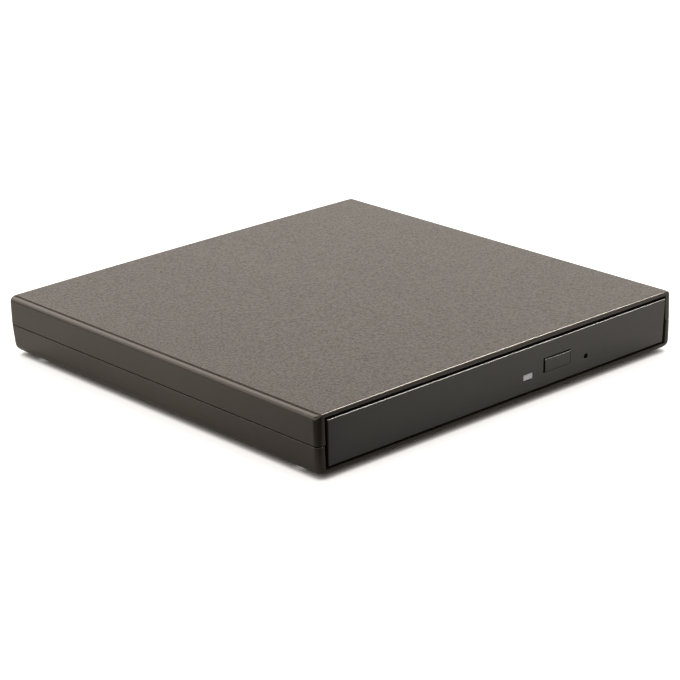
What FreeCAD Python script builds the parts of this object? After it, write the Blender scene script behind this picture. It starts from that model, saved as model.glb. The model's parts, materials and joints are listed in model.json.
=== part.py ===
import FreeCAD
import Part

import math
import os

# An external slim DVD drive: a two-part plastic case round a tray-loading disc drive.
# Millimetres. +Z is up, the bezel faces -Y, and the origin is the middle of the footprint.
# Sizes start from the disc and work outwards: disc, drive, case.

# Allowances used all over: how far a cut runs past a face, how far a joined piece sinks into
# what carries it, and how near fixed neighbours come
cut_past = 1.0
sink = 0.2
near_gap = 0.1
fixed_gap = 0.3

# The disc that the tray takes
disc_diameter = 120.0
disc_hole_diameter = 15.0
disc_thickness = 1.2

# The slim drive, from the disc outwards
disc_side_room = 4.0
disc_front_room = 1.1
disc_rear_room = 5.0
chassis_sheet = 0.6
top_plate_sheet = 0.4
mechanism_height = 6.2
tray_plate = 1.2
disc_space = 4.3

# The case round the drive
case_wall = 2.0
case_floor = 1.6
case_roof = 1.5
case_side_room = 6.5
case_rear_room = 15.3
case_base_room = 1.3
case_top_room = 1.6
foot_stand = 1.3
crown_rise = 0.3
seam_height = 9.1
seam_groove = 0.3
tongue_height = 1.3
tongue_thickness = 0.9
tongue_clearance = 0.1
corner_radius = 1.9
roof_edge_radius = 2.1
roof_front_radius = 0.5
side_taper = 0.25
front_taper = 0.15
back_taper = 1.0
side_edge_radius = 2.7
end_edge_radius = 1.6
front_post = 2.9
front_seam_step = 0.4
sill_height = 1.7
cavity_corner = 0.8
corner_shrink = 0.2
least_corner = 0.4
tongue_root = 1.2
tongue_front_gap = 0.4
rib_half = 0.6
rib_inset = 4.0
rib_share = 0.8

# The bezel on the tray
bezel_depth = 4.6
bezel_wall = 1.8
bezel_flange = 1.2
bezel_side_gap = 0.6
bezel_side_draft = 0.45
bezel_top_gap = 0.75
bezel_sill_gap = 0.65
bezel_proud = 0.5
bezel_recess = 0.2
bezel_clearance = 0.3
clip_half = 2.0
clip_inset = 2.0
clip_sheet = 1.2
clip_root = 0.5

# What shows on the bezel, from its right end and its lower edge
button_width = 10.7
button_height = 4.0
button_inset = 47.45
button_rise = 6.5
button_gap = 0.3
button_cut_room = 1.2
button_low_gap = 0.18
button_proud = 0.25
button_travel = 0.8
button_flange = 0.4
button_flange_sheet = 0.7
button_tail_half = 1.5
button_tail_rise = 0.5
button_tail_height = 1.9
plunger_radius = 0.9
plunger_length = 2.2
switch_half = 3.0
switch_depth = 3.4
switch_gap = 1.2
led_half = 1.3
led_depth = 1.6
led_height = 1.8
window_width = 3.75
window_height = 1.8
window_inset = 59.7
window_rise = 4.85
window_recess = 0.15
window_reach = 0.4
pin_hole_radius = 0.85
pin_hole_inset = 35.1
pin_hole_rise = 4.7

# Rails on each side of the tray
guide_height = 4.3
guide_depth = 3.3
guide_sheet = 0.7
rail_sheet = 0.6
slide_clearance = 0.15
guide_setback = 3.0
guide_rear_gap = 7.1
rail_setback = 2.0
rail_rear_gap = 6.0
travel_margin = 0.5

# The tray
tray_rim = 3.2
tray_skirt = 1.2
recess_clearance = 0.6
tray_rear_gap = 0.9
tray_wall_gap = 0.5
open_side = 8.0
open_share = 0.75
tongue_setback = 2.0
pan_clearance = 0.8
blind_depth = 0.3
slider_rib = 0.7
slider_rib_setback = 3.0
slider_rib_end_gap = 2.0
slider_half = 1.5
slider_length = 16.0
slider_drop = 1.0
board_post_radius = 1.4
board_post_setback = 6.5
opening_end_room = 1.5
opening_side_room = 2.0
opening_corner = 2.0
opening_hub_room = 0.6

# The spindle, from the disc's plane down
disc_lift = 1.2
hub_height = 2.2
hub_clearance = 0.2
table_radius = 13.0
table_thickness = 0.8
ring_width = 3.0
ring_depth = 0.4
shaft_radius = 1.0
shaft_set_down = 0.6
bearing_clearance = 0.04
bearing_wall = 2.0
bearing_seat = 0.4
bearing_top_gap = 0.5
thrust_gap = 0.05
stator_flange = 0.8
stator_rim = 0.3
stator_top_gap = 0.4
rotor_hang = 0.4
ring_inset = 0.5
motor_gap = 0.6
jaw_width = 2.4
jaw_thickness = 0.55
jaw_reach = 0.6
jaw_length = 3.4
jaw_clearance = 0.2
jaw_back_room = 0.8

# The traverse: the frame that carries the spindle and the pickup, on a slant under the tray
path_angle = 135.0
frame_sheet = 0.8
frame_drop = 1.2
frame_half_width = 15.5
screw_side_width = 4.5
frame_end_room = 0.5
frame_wall_gap = 0.6
frame_hub_room = 2.0
lug_thickness = 1.6
lug_half = 1.8
lug_drop = 0.3
end_lug_thickness = 0.9
end_lug_gap = 0.2
track_margin = 3.0
pickup_start = 24.0
pickup_inner = 9.0
pickup_outer = 4.0
pickup_half_width = 11.0
pickup_height = 4.9
pickup_gap = 0.5
bush_inset = 0.8
bush_wall = 0.4
bush_drop = 0.7
fork_inset = 3.0
fork_reach = 1.6
follower_back = 5.2
follower_ahead = 1.2
follower_drop = 1.6
follower_rise = 1.2
follower_share = 0.6
follower_clearance = 0.2
lens_well = 1.9
lens_well_room = 0.5
rod_radius = 1.2
rod_offset = 13.0
rod_drop = 1.6
rod_clearance = 0.05
screw_radius = 1.3
screw_offset = 17.5
screw_pitch = 3.0
screw_thread_depth = 0.35
screw_journal = 0.5
journal_clearance = 0.05
journal_reach = 1.0
screw_short = 1.0
thread_end_room = 0.3
thread_sink = 0.15
motor_radius = 2.2
motor_length = 9.0
motor_ahead = 4.0
motor_back_gap = 1.6
motor_bore = 0.6
motor_bore_start = 3.0
motor_front_gap = 0.4
motor_notch_gap = 0.1
damper_radius = 2.4
damper_groove = 0.8
damper_ring = 0.8
damper_foot = 0.7
damper_start_room = 1.2
damper_end_room = 0.5
damper_side_room = 1.4
damper_boss = 0.8
lens_radius = 2.4
lens_rim = 0.6
lens_collar = 0.5
lens_top_gap = 0.2
lens_floor = 0.4
lens_seat = 0.4
lens_holder_size = 8.0
lens_holder_short = 0.5
lens_holder_step = 0.3
lens_travel = 0.4
cover_sheet = 0.3
cover_side = 2.5
cover_far_side = 7.0
cover_hub_room = 4.0
cover_corner = 3.0
cover_lip = 0.8
cover_screw_back = 6.0
cover_screw_ahead = 6.0
cover_screw_side = 0.6
cover_screw_far = 5.0
cover_screw_share = 0.8

# Screws, pins and posts
screw_shank = 0.95
screw_head_radius = 1.9
screw_head_height = 0.8
screw_clearance = 0.2
screw_slot_half = 0.2
screw_slot_reach = 1.1
screw_slot_depth = 0.4
flat_head_height = 0.5
case_screw_bite = 5.0
blind_room = 0.4
mount_screw_bite = 2.6
recess_depth = 1.2
post_radius = 2.7
ear_post_radius = 2.5
bridge_post_radius = 2.1
case_screw_inset = 12.0
ear_width = 6.4
ear_reach = 2.6
ear_rise = 1.8
ear_offset = 40.0
tab_half = 2.4
tab_inset = 3.2
tab_front_inset = 5.0
tab_rear_inset = 4.0
plate_lip = 3.0
foot_radius = 4.0
foot_depth = 0.5
foot_inset = 12.5

# The latch
latch_post_radius = 1.5
latch_post_height = 4.2
latch_post_foot = 1.2
latch_post_foot_sheet = 0.4
latch_post_setback = 6.3
latch_cable_gap = 5.0
latch_swing = 16.0
lever_thickness = 1.4
lever_rise = 0.9
lever_side = 7.0
lever_length = 14.0
lever_arm_half = 2.0
lever_hub_radius = 2.6
lever_tail_length = 5.0
lever_tail_width = 1.6
tooth_gap = 0.8
tooth_reach = 0.4
tooth_tip = 1.2
tooth_back = 1.6
tooth_slant = 3.0
tooth_root = 0.6
pivot_radius = 1.2
pivot_foot_radius = 2.0
pivot_foot_sheet = 0.4
release_travel = 3.0
coil_radius = 2.2
coil_height = 3.1
coil_core_radius = 1.0
yoke_width = 6.5
yoke_depth = 12.0
yoke_height = 5.6
yoke_sheet = 0.8
yoke_side = 7.0
yoke_back = 1.0

# The ejector, a sprung rod that starts the tray on its way out
ejector_rod_radius = 1.4
ejector_drop = 2.4
ejector_post_gap = 0.6
ejector_depth = 25.5
ejector_rib = 1.2
ejector_rib_half = 2.4
ejector_rib_wall = 0.6
ejector_collar_radius = 2.2
ejector_collar = 1.0
spring_wire = 0.22
spring_length = 10.0
spring_turns = 7.5
spring_clearance = 0.15
spring_end_gap = 0.2
spring_collar_gap = 0.5

# Boards and sockets
board_thickness = 1.0
board_gap = 3.0
front_board_depth = 9.0
front_board_left = 6.3
front_board_right = 2.6
post_left = 4.5
post_right = 5.0
tray_board_setback = 10.5
tray_board_inset = 2.0
tray_board_right = 10.0
tray_board_gap = 3.55
chip_large = 12.0
chip_medium = 8.0
chip_height = 1.0
chip_gap = 6.0
chip_inset = 8.0
small_chip_length = 1.6
small_chip_width = 0.8
small_chip_height = 0.6
small_chip_pitch = 4.0
small_chip_side = 3.2
rear_board_depth = 7.2
rear_board_inset = 1.0
bridge_side = 6.0
bridge_end = 12.0
bridge_gap = 0.6
bridge_screw_inset = 3.0
bridge_screw_back = 3.2
bridge_screw_bite = 0.5
bridge_chip = 7.0
bridge_chip_side = 3.0
bridge_crystal_length = 5.0
bridge_crystal_width = 2.0
bridge_part = 4.0
bridge_part_height = 1.8
usb_width = 7.7
usb_height = 3.9
usb_depth = 9.2
usb_sheet = 0.4
usb_offset = 22.0
usb_margin = 0.3
usb_setback = 0.3
usb_tongue_sheet = 0.7
usb_tongue_rise = 1.2
usb_tongue_side = 0.9
usb_tongue_setback = 1.0
usb_root_depth = 2.0
plug_width = 21.0
plug_depth = 6.0
plug_height = 3.6
plug_offset = -18.0
plug_window_height = 5.0
plug_window_room = 0.5
blade_inset = 1.5
blade_length = 3.6
blade_sheet = 1.2
blade_rise = 1.2
blade_clearance = 0.1
socket_height = 4.6
socket_side = 0.4

# The flat cable that folds under the tray
cable_width = 6.0
cable_thickness = 0.15
cable_side_gap = 2.15
cable_face_gap = 0.05
cable_fold_gap = 2.25
cable_extra_run = 3.5
cable_plug_side = 0.6
cable_plug_depth = 1.6
cable_plug_height = 1.2

# Heights and faces that follow from the sizes above
disc_radius = disc_diameter / 2
drive_width = disc_diameter + 2 * disc_side_room
drive_depth = disc_front_room + disc_diameter + disc_rear_room
case_width = drive_width + 2 * (case_side_room + case_wall)
case_depth = bezel_depth + bezel_clearance + drive_depth + case_rear_room + case_wall
case_half = case_width / 2
cavity_half = case_half - case_wall

front = -(case_depth + bezel_proud) / 2 + bezel_proud
back = front + case_depth
base = foot_stand
floor = base + case_floor
drive_base = floor + case_base_room
pan_top = drive_base + chassis_sheet
tray_low = pan_top + mechanism_height
tray_top = tray_low + tray_plate
plate_low = tray_top + disc_space
drive_top = plate_low + top_plate_sheet
ceiling = drive_top + case_top_room
top = ceiling + case_roof
seam = base + seam_height
sill = base + sill_height

bezel_low = sill + bezel_sill_gap
bezel_high = ceiling - bezel_top_gap
bezel_back = front + bezel_depth
chassis_front = bezel_back + bezel_clearance
chassis_back = chassis_front + drive_depth
chassis_half = drive_width / 2
chassis_inner = chassis_half - chassis_sheet
hub_y = chassis_front + disc_front_room + disc_radius
disc_low = tray_top + disc_lift
disc_high = disc_low + disc_thickness
opening_half = case_half - front_post
tray_travel = hub_y + disc_radius - front + travel_margin

bezel_half = opening_half - bezel_side_gap
button_offset = bezel_half - button_inset
window_offset = bezel_half - window_inset
pin_hole_offset = bezel_half - pin_hole_inset

button_z = bezel_low + button_rise
window_z = bezel_low + window_rise
pin_hole_z = bezel_low + pin_hole_rise

guide_inner = chassis_inner - guide_depth
guide_high = tray_top - 2 * slide_clearance
guide_low = guide_high - guide_height
rail_outer = chassis_inner - guide_sheet - slide_clearance
rail_inner = guide_inner - 4 * slide_clearance
rail_low = guide_low + guide_sheet + slide_clearance
rail_high = guide_high - guide_sheet - slide_clearance
skirt_outer = rail_inner - slide_clearance
skirt_inner = skirt_outer - tray_skirt
tongue_outer = rail_outer - rail_sheet - slide_clearance
tongue_low = rail_low + rail_sheet + slide_clearance
tongue_high = rail_high - rail_sheet - slide_clearance
tray_back = chassis_back - chassis_sheet - tray_rear_gap
cable_x = skirt_inner - cable_side_gap - cable_width / 2
cable_fixed_run = tray_travel / 2 - cable_fold_gap
cable_moving_run = cable_fixed_run + cable_extra_run
latch_x = cable_x - cable_width / 2 - latch_cable_gap
ejector_x = latch_x - latch_post_radius - 2 * ejector_rod_radius - ejector_post_gap
ejector_z = tray_low - ejector_drop

frame_high = tray_low - frame_drop
frame_low = frame_high - frame_sheet
rod_z = frame_low - rod_drop
pickup_high = tray_low - cover_sheet - fixed_gap
pickup_low = pickup_high - pickup_height
pickup_travel = disc_radius - track_margin - pickup_start
pickup_end = pickup_start + pickup_travel + pickup_outer
pickup_gap_u = pickup_start - pickup_inner - pickup_gap
frame_end = pickup_end + frame_end_room + end_lug_thickness + fixed_gap
frame_start = -(table_radius + frame_hub_room)
rotor_low = frame_high - rotor_hang
motor_start = pickup_start - motor_ahead - motor_length - motor_back_gap
screw_start = motor_start + motor_length + motor_front_gap
screw_end = pickup_start + pickup_travel - screw_short
bush_edge = rod_offset + rod_radius + bush_wall
well_low = pickup_high - lens_well
lens_high = tray_top - lens_top_gap - lens_travel
bearing_outer = shaft_radius + bearing_clearance + bearing_wall
hub_radius = disc_hole_diameter / 2 - hub_clearance
jaw_low = disc_high + near_gap
jaw_start = hub_radius + jaw_reach - jaw_length
jaw_angles = (90.0, 210.0, 330.0)

post_x = chassis_half + case_side_room / 2
ear_low = drive_base + ear_rise
tab_low = plate_low - chassis_sheet
usb_z = drive_base + board_thickness
usb_back = back - usb_setback
front_board_y = bezel_back + board_gap
front_board_z = window_z - window_height / 2 - board_thickness - near_gap
plunger_front = front_board_y + plunger_radius
plunger_z = button_z - button_height / 2 + button_tail_rise + button_tail_height / 2
latch_post_y = front_board_y + latch_post_setback
lever_low = pan_top + lever_rise


def block(x0, x1, y0, y1, z0, z1):
    corner = FreeCAD.Vector(min(x0, x1), min(y0, y1), min(z0, z1))
    return Part.makeBox(abs(x1 - x0), abs(y1 - y0), abs(z1 - z0), corner)


def upright(x, y, radius, z0, z1):
    return Part.makeCylinder(radius, z1 - z0, FreeCAD.Vector(x, y, z0))


def lying(x, z, radius, y0, y1):
    return Part.makeCylinder(radius, y1 - y0, FreeCAD.Vector(x, y0, z), FreeCAD.Vector(0, 1, 0))


def along_path(v, z, radius, u0, u1):
    return Part.makeCylinder(radius, u1 - u0, FreeCAD.Vector(u0, v, z), FreeCAD.Vector(1, 0, 0))


def joined(shapes):
    shape = shapes[0]
    for other in shapes[1:]:
        shape = shape.fuse(other)
    return shape.removeSplitter()


def without(shape, cutters):
    for cutter in cutters:
        shape = shape.cut(cutter)
    return shape


def polygon_prism(points, direction):
    vectors = [FreeCAD.Vector(*point) for point in points]
    wire = Part.makePolygon(vectors + [vectors[0]])
    return Part.Face(wire).extrude(FreeCAD.Vector(*direction))


def rounded_outline(x0, x1, y0, y1, radius, z):
    r = radius
    s = r * (1 - math.sqrt(0.5))
    line = Part.makeLine
    vec = FreeCAD.Vector
    edges = [
        line(vec(x0 + r, y0, z), vec(x1 - r, y0, z)),
        Part.Arc(vec(x1 - r, y0, z), vec(x1 - s, y0 + s, z), vec(x1, y0 + r, z)).toShape(),
        line(vec(x1, y0 + r, z), vec(x1, y1 - r, z)),
        Part.Arc(vec(x1, y1 - r, z), vec(x1 - s, y1 - s, z), vec(x1 - r, y1, z)).toShape(),
        line(vec(x1 - r, y1, z), vec(x0 + r, y1, z)),
        Part.Arc(vec(x0 + r, y1, z), vec(x0 + s, y1 - s, z), vec(x0, y1 - r, z)).toShape(),
        line(vec(x0, y1 - r, z), vec(x0, y0 + r, z)),
        Part.Arc(vec(x0, y0 + r, z), vec(x0 + s, y0 + s, z), vec(x0 + r, y0, z)).toShape(),
    ]
    return Part.Wire(edges)


def rounded_block(x0, x1, y0, y1, radius, z0, z1):
    wire = rounded_outline(x0, x1, y0, y1, radius, z0)
    return Part.Face(wire).extrude(FreeCAD.Vector(0, 0, z1 - z0))


def placed_on_path(shape):
    turned = shape.copy()
    turned.rotate(FreeCAD.Vector(0, 0, 0), FreeCAD.Vector(0, 0, 1), path_angle)
    turned.translate(FreeCAD.Vector(0, hub_y, 0))
    return turned


def path_point(u, v):
    angle = math.radians(path_angle)
    x = u * math.cos(angle) - v * math.sin(angle)
    y = u * math.sin(angle) + v * math.cos(angle) + hub_y
    return x, y


def mirrored(shape):
    return shape.mirror(FreeCAD.Vector(0, 0, 0), FreeCAD.Vector(1, 0, 0))


def hub_disc(radius, z0, z1):
    return upright(0, hub_y, radius, z0, z1)


def screw(x, y, seat, end, head_radius, head_height, shank_radius):
    """A slotted screw from its seat to its end, with its head on the seat's other side."""
    way = 1 if seat > end else -1
    head_top = seat + way * head_height
    slot_floor = head_top - way * min(screw_slot_depth, head_height * 0.6)
    head = upright(x, y, head_radius, min(seat, head_top), max(seat, head_top))
    shank = upright(x, y, shank_radius, min(seat, end), max(seat, end))
    slot = block(x - screw_slot_reach, x + screw_slot_reach, y - screw_slot_half, y + screw_slot_half,
                 slot_floor, head_top + way * cut_past)
    return head.fuse(shank).removeSplitter().cut(slot)


def case_screw_places():
    return [(x, y) for x in (-post_x, post_x) for y in (front + case_screw_inset, back - case_screw_inset)]


def ear_places():
    return [(side * post_x, y) for side in (-1, 1) for y in (-ear_offset, ear_offset)]


def foot_places():
    x = case_half - foot_inset
    return [(side * x, y) for side in (-1, 1) for y in (front + foot_inset, back - foot_inset)]


def rib_blocks(z0, z1):
    """Three ribs along the case, under or over the drive."""
    middles = (-disc_radius * rib_share, 0, disc_radius * rib_share)
    return [block(x - rib_half, x + rib_half, chassis_front + rib_inset, chassis_back - rib_inset, z0, z1)
            for x in middles]


def crowned_section():
    """The case's front outline above the seam: upright sides, round shoulders and a slight crown."""
    z = top - crown_rise
    r = roof_edge_radius
    s = r * (1 - math.sqrt(0.5))
    vec = FreeCAD.Vector
    y = front - cut_past
    edges = [
        Part.makeLine(vec(-case_half, y, base), vec(case_half, y, base)),
        Part.makeLine(vec(case_half, y, base), vec(case_half, y, z - r)),
        Part.Arc(vec(case_half, y, z - r), vec(case_half - s, y, z - s), vec(case_half - r, y, z)).toShape(),
        Part.Arc(vec(case_half - r, y, z), vec(0, y, top), vec(-case_half + r, y, z)).toShape(),
        Part.Arc(vec(r - case_half, y, z), vec(s - case_half, y, z - s), vec(-case_half, y, z - r)).toShape(),
        Part.makeLine(vec(-case_half, y, z - r), vec(-case_half, y, base)),
    ]
    return Part.Face(Part.Wire(edges)).extrude(vec(0, case_depth + 2 * cut_past, 0))


def side_section():
    """The case's side outline: a small round at the front of the roof and a full one at the back."""
    vec = FreeCAD.Vector
    x = -case_half - cut_past
    f = roof_front_radius
    r = roof_edge_radius
    fs = f * (1 - math.sqrt(0.5))
    rs = r * (1 - math.sqrt(0.5))
    edges = [
        Part.makeLine(vec(x, front, base), vec(x, front, top - f)),
        Part.Arc(vec(x, front, top - f), vec(x, front + fs, top - fs), vec(x, front + f, top)).toShape(),
        Part.makeLine(vec(x, front + f, top), vec(x, back - r, top)),
        Part.Arc(vec(x, back - r, top), vec(x, back - rs, top - rs), vec(x, back, top - r)).toShape(),
        Part.makeLine(vec(x, back, top - r), vec(x, back, base)),
        Part.makeLine(vec(x, back, base), vec(x, front, base)),
    ]
    return Part.Face(Part.Wire(edges)).extrude(vec(case_width + 2 * cut_past, 0, 0))


def usb_cutout():
    half = usb_width / 2 + usb_margin
    low = usb_z - usb_margin
    high = usb_z + usb_height + usb_margin
    return block(usb_offset - half, usb_offset + half, back - 3 * case_wall, back + cut_past, low, high)


def make_top_cover():
    low = seam + seam_groove / 2
    plan = rounded_block(-case_half, case_half, front, back, corner_radius, low, top + cut_past)
    shell = plan.common(crowned_section()).common(side_section())
    inner_front = front + case_wall
    shell = shell.cut(block(-cavity_half, cavity_half, inner_front, back - case_wall, base, ceiling))
    shell = shell.cut(block(-opening_half, opening_half, front - cut_past, inner_front + near_gap,
                            base, ceiling))
    rebate = tongue_thickness + tongue_clearance
    rebate_top = seam + tongue_height + tongue_clearance
    outer = cavity_half + rebate
    shell = shell.cut(block(-outer, outer, inner_front, back - case_wall + rebate, base, rebate_top))
    posts = [upright(x, y, post_radius, seam, ceiling + sink) for x, y in case_screw_places()]
    shell = joined([shell] + posts + rib_blocks(drive_top, ceiling + sink))
    hole_end = seam + case_screw_bite + cut_past
    holes = [upright(x, y, screw_shank, seam - cut_past, hole_end) for x, y in case_screw_places()]
    return without(shell, holes + [usb_cutout()])


def drawn_in(z, rise, taper, radius):
    """How far a lower wall is drawn in at a height above the base, by its taper and its round foot."""
    below = max(radius - z, 0.0)
    return taper * (1 - z / rise) + radius - math.sqrt(radius ** 2 - below ** 2)


def tapered_shell(inset):
    """The lower case's outer form: full size at the seam, drawn in and rounded towards the base."""
    half = case_half - inset
    y0 = front + inset
    y1 = back - inset
    rise = seam - seam_groove / 2 - base
    levels = {radius * (1 - math.cos(math.radians(angle)))
              for radius in (side_edge_radius, end_edge_radius) for angle in (0, 30, 60, 90)}
    wires = []
    for z in sorted(levels) + [rise]:
        side = drawn_in(z, rise, side_taper, side_edge_radius)
        y_front = y0 + drawn_in(z, rise, front_taper, end_edge_radius)
        y_back = y1 - drawn_in(z, rise, back_taper, end_edge_radius)
        radius = max(corner_radius - inset - side * corner_shrink, least_corner)
        wires.append(rounded_outline(-half + side, half - side, y_front, y_back, radius, base + z))
    return Part.makeLoft(wires, True, True)


def lower_cavity():
    """The space inside the lower case, drawn in towards the floor as the outside is."""
    half = cavity_half - side_taper
    y0 = front + case_wall
    y1 = back - case_wall
    wires = [
        rounded_outline(-half, half, y0 + front_taper, y1 - back_taper, cavity_corner, floor),
        rounded_outline(-cavity_half, cavity_half, y0, y1, cavity_corner, seam),
    ]
    return Part.makeLoft(wires, True, True)


def tongue_ring():
    """The raised edge inside the seam that the top cover's rebate fits over."""
    seam_low = seam - seam_groove / 2
    outer = cavity_half + tongue_thickness
    y0 = front + case_wall + tongue_front_gap
    y1 = back - case_wall
    low = seam_low - tongue_root
    high = seam + tongue_height
    ring = rounded_block(-outer, outer, y0, y1 + tongue_thickness, cavity_corner, low, high)
    inside = rounded_block(-cavity_half, cavity_half, y0 - case_wall, y1, cavity_corner, low - near_gap,
                           high + near_gap)
    within = tapered_shell(fixed_gap).fuse(block(-case_half, case_half, front, back, seam_low, top))
    return ring.cut(inside).common(within)


def make_bottom_cover():
    shell = tapered_shell(0.0).cut(lower_cavity())
    step = opening_half + front_seam_step
    y0 = front - cut_past
    gate = polygon_prism([
        (-opening_half, y0, sill), (opening_half, y0, sill),
        (step, y0, seam + cut_past), (-step, y0, seam + cut_past)],
        (0, case_wall + front_taper + 1.5 * cut_past, 0))
    shell = shell.cut(gate)
    low = floor - sink
    extra = [tongue_ring()] + rib_blocks(low, drive_base)
    extra += [upright(x, y, post_radius, low, seam) for x, y in case_screw_places()]
    extra += [upright(x, y, ear_post_radius, low, ear_low) for x, y in ear_places()]
    extra += [upright(x, y, bridge_post_radius, low, drive_base) for x, y in bridge_screw_places()]
    shell = joined([shell] + extra)
    cuts = []
    for x, y in case_screw_places():
        cuts.append(upright(x, y, screw_head_radius + screw_clearance, base - cut_past, base + recess_depth))
        cuts.append(upright(x, y, screw_shank + screw_clearance, base, seam + cut_past))
    for x, y in ear_places():
        cuts.append(upright(x, y, screw_shank, ear_low - mount_screw_bite - blind_room, ear_low + cut_past))
    for x, y in bridge_screw_places():
        cuts.append(upright(x, y, screw_shank, floor - bridge_screw_bite - near_gap, drive_base + cut_past))
    for x, y in foot_places():
        cuts.append(upright(x, y, foot_radius, base - cut_past, base + foot_depth))
    return without(shell, cuts + [usb_cutout()])


def make_rubber_feet():
    return Part.makeCompound([upright(x, y, foot_radius, 0.0, base + foot_depth) for x, y in foot_places()])


def make_case_screws():
    screws = []
    seat = base + recess_depth
    low = seat - screw_head_height
    for x, y in case_screw_places():
        head = upright(x, y, screw_head_radius, low, seat)
        shank = upright(x, y, screw_shank, seat, seam + case_screw_bite)
        reach = screw_slot_reach
        half = screw_slot_half
        slot_end = low + screw_slot_depth
        cross = block(x - half, x + half, y - reach, y + reach, low - cut_past, slot_end)
        cross = cross.fuse(block(x - reach, x + reach, y - half, y + half, low - cut_past, slot_end))
        screws.append(head.fuse(shank).removeSplitter().cut(cross))
    return Part.makeCompound(screws)


def top_tab_places():
    x = chassis_inner - tab_inset
    y0 = chassis_front + tab_front_inset
    y1 = chassis_back - chassis_sheet - tab_rear_inset
    return [(side * x, y) for side in (-1, 1) for y in (y0, y1)]


def make_drive_chassis():
    """A folded sheet pan, with inward tabs for the top plate's screws and outward ears for its own."""
    y0 = chassis_front
    y1 = chassis_back
    half = chassis_half
    inner = chassis_inner
    pan = block(-half, half, y0, y1, drive_base, plate_low)
    pan = pan.cut(block(-inner, inner, y0 - cut_past, y1 - chassis_sheet, pan_top, plate_low + cut_past))
    pieces = [pan]
    for x, y in top_tab_places():
        side = math.copysign(1, x)
        pieces.append(block(x - side * tab_half, side * inner, y - tab_half, y + tab_half,
                            tab_low, plate_low))
    for x, y in ear_places():
        side = math.copysign(1, x)
        pieces.append(block(side * half, x + side * ear_reach, y - ear_width / 2, y + ear_width / 2,
                            ear_low, ear_low + chassis_sheet))
    pan = joined(pieces)
    cuts = []
    for x, y in top_tab_places():
        cuts.append(upright(x, y, screw_shank, tab_low - cut_past, plate_low + cut_past))
    for x, y in ear_places():
        cuts.append(upright(x, y, screw_shank + screw_clearance, drive_base, ear_low + 2 * cut_past))
    half_plug = plug_width / 2 + plug_window_room
    cuts.append(block(plug_offset - half_plug, plug_offset + half_plug, y1 - cut_past, y1 + cut_past,
                      pan_top, pan_top + plug_window_height))
    return without(pan, cuts)


def make_drive_top_plate():
    half = chassis_half + top_plate_sheet
    plate = block(-half, half, chassis_front, chassis_back, plate_low, drive_top)
    lip = block(chassis_half, half, chassis_front, chassis_back, plate_low - plate_lip, drive_top)
    plate = joined([plate, lip, mirrored(lip)])
    holes = [upright(x, y, screw_shank, plate_low - cut_past, drive_top + cut_past)
             for x, y in top_tab_places()]
    return without(plate, holes)


def make_top_plate_screws():
    return Part.makeCompound([
        screw(x, y, drive_top, tab_low, screw_head_radius, flat_head_height, screw_shank)
        for x, y in top_tab_places()])


def make_drive_mount_screws():
    seat = ear_low + chassis_sheet
    return Part.makeCompound([
        screw(x, y, seat, ear_low - mount_screw_bite, screw_head_radius, screw_head_height, screw_shank)
        for x, y in ear_places()])


def guide_ends():
    return chassis_front + guide_setback, chassis_back - guide_rear_gap


def make_right_rail_guide():
    y0, y1 = guide_ends()
    guide = block(guide_inner, chassis_inner, y0, y1, guide_low, guide_high)
    channel = block(guide_inner - cut_past, chassis_inner - guide_sheet, y0 - cut_past, y1 + cut_past,
                    guide_low + guide_sheet, guide_high - guide_sheet)
    return guide.cut(channel)


def make_right_rail():
    guide_start, guide_end = guide_ends()
    y0 = guide_start + rail_setback
    y1 = guide_end - rail_rear_gap
    rail = block(rail_inner, rail_outer, y0, y1, rail_low, rail_high)
    channel = block(rail_inner - cut_past, rail_outer - rail_sheet, y0 - cut_past, y1 + cut_past,
                    rail_low + rail_sheet, rail_high - rail_sheet)
    return rail.cut(channel)


def tray_opening(margin, z0, z1):
    """The hole in the tray over the hub and along the lens's path, in the path's own frame."""
    u1 = pickup_start + pickup_travel + lens_holder_size / 2 + opening_end_room
    half = lens_holder_size / 2 + opening_side_room
    slot = rounded_block(0, u1 + margin, -half - margin, half + margin, opening_corner, z0, z1)
    hub_room = table_radius + motor_gap + opening_hub_room + margin
    return slot.fuse(Part.makeCylinder(hub_room, z1 - z0, FreeCAD.Vector(0, 0, z0)))


def damper_places():
    start = frame_start + damper_radius + damper_start_room
    end = frame_end - damper_radius - damper_end_room
    near_side = -(frame_half_width - damper_radius - damper_end_room)
    return [(start, near_side), (start, screw_offset - damper_side_room), (end, screw_offset)]


def cover_screw_places():
    near_side = -(frame_half_width + cover_screw_side)
    ahead = pickup_start + cover_screw_ahead
    return [(-cover_screw_back, near_side), (ahead, near_side), (ahead, screw_offset + cover_screw_far)]


def rib_back_y():
    """The back face of the tray's rib that the ejector's spring leans on."""
    return tray_back - ejector_depth + ejector_rib


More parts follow.
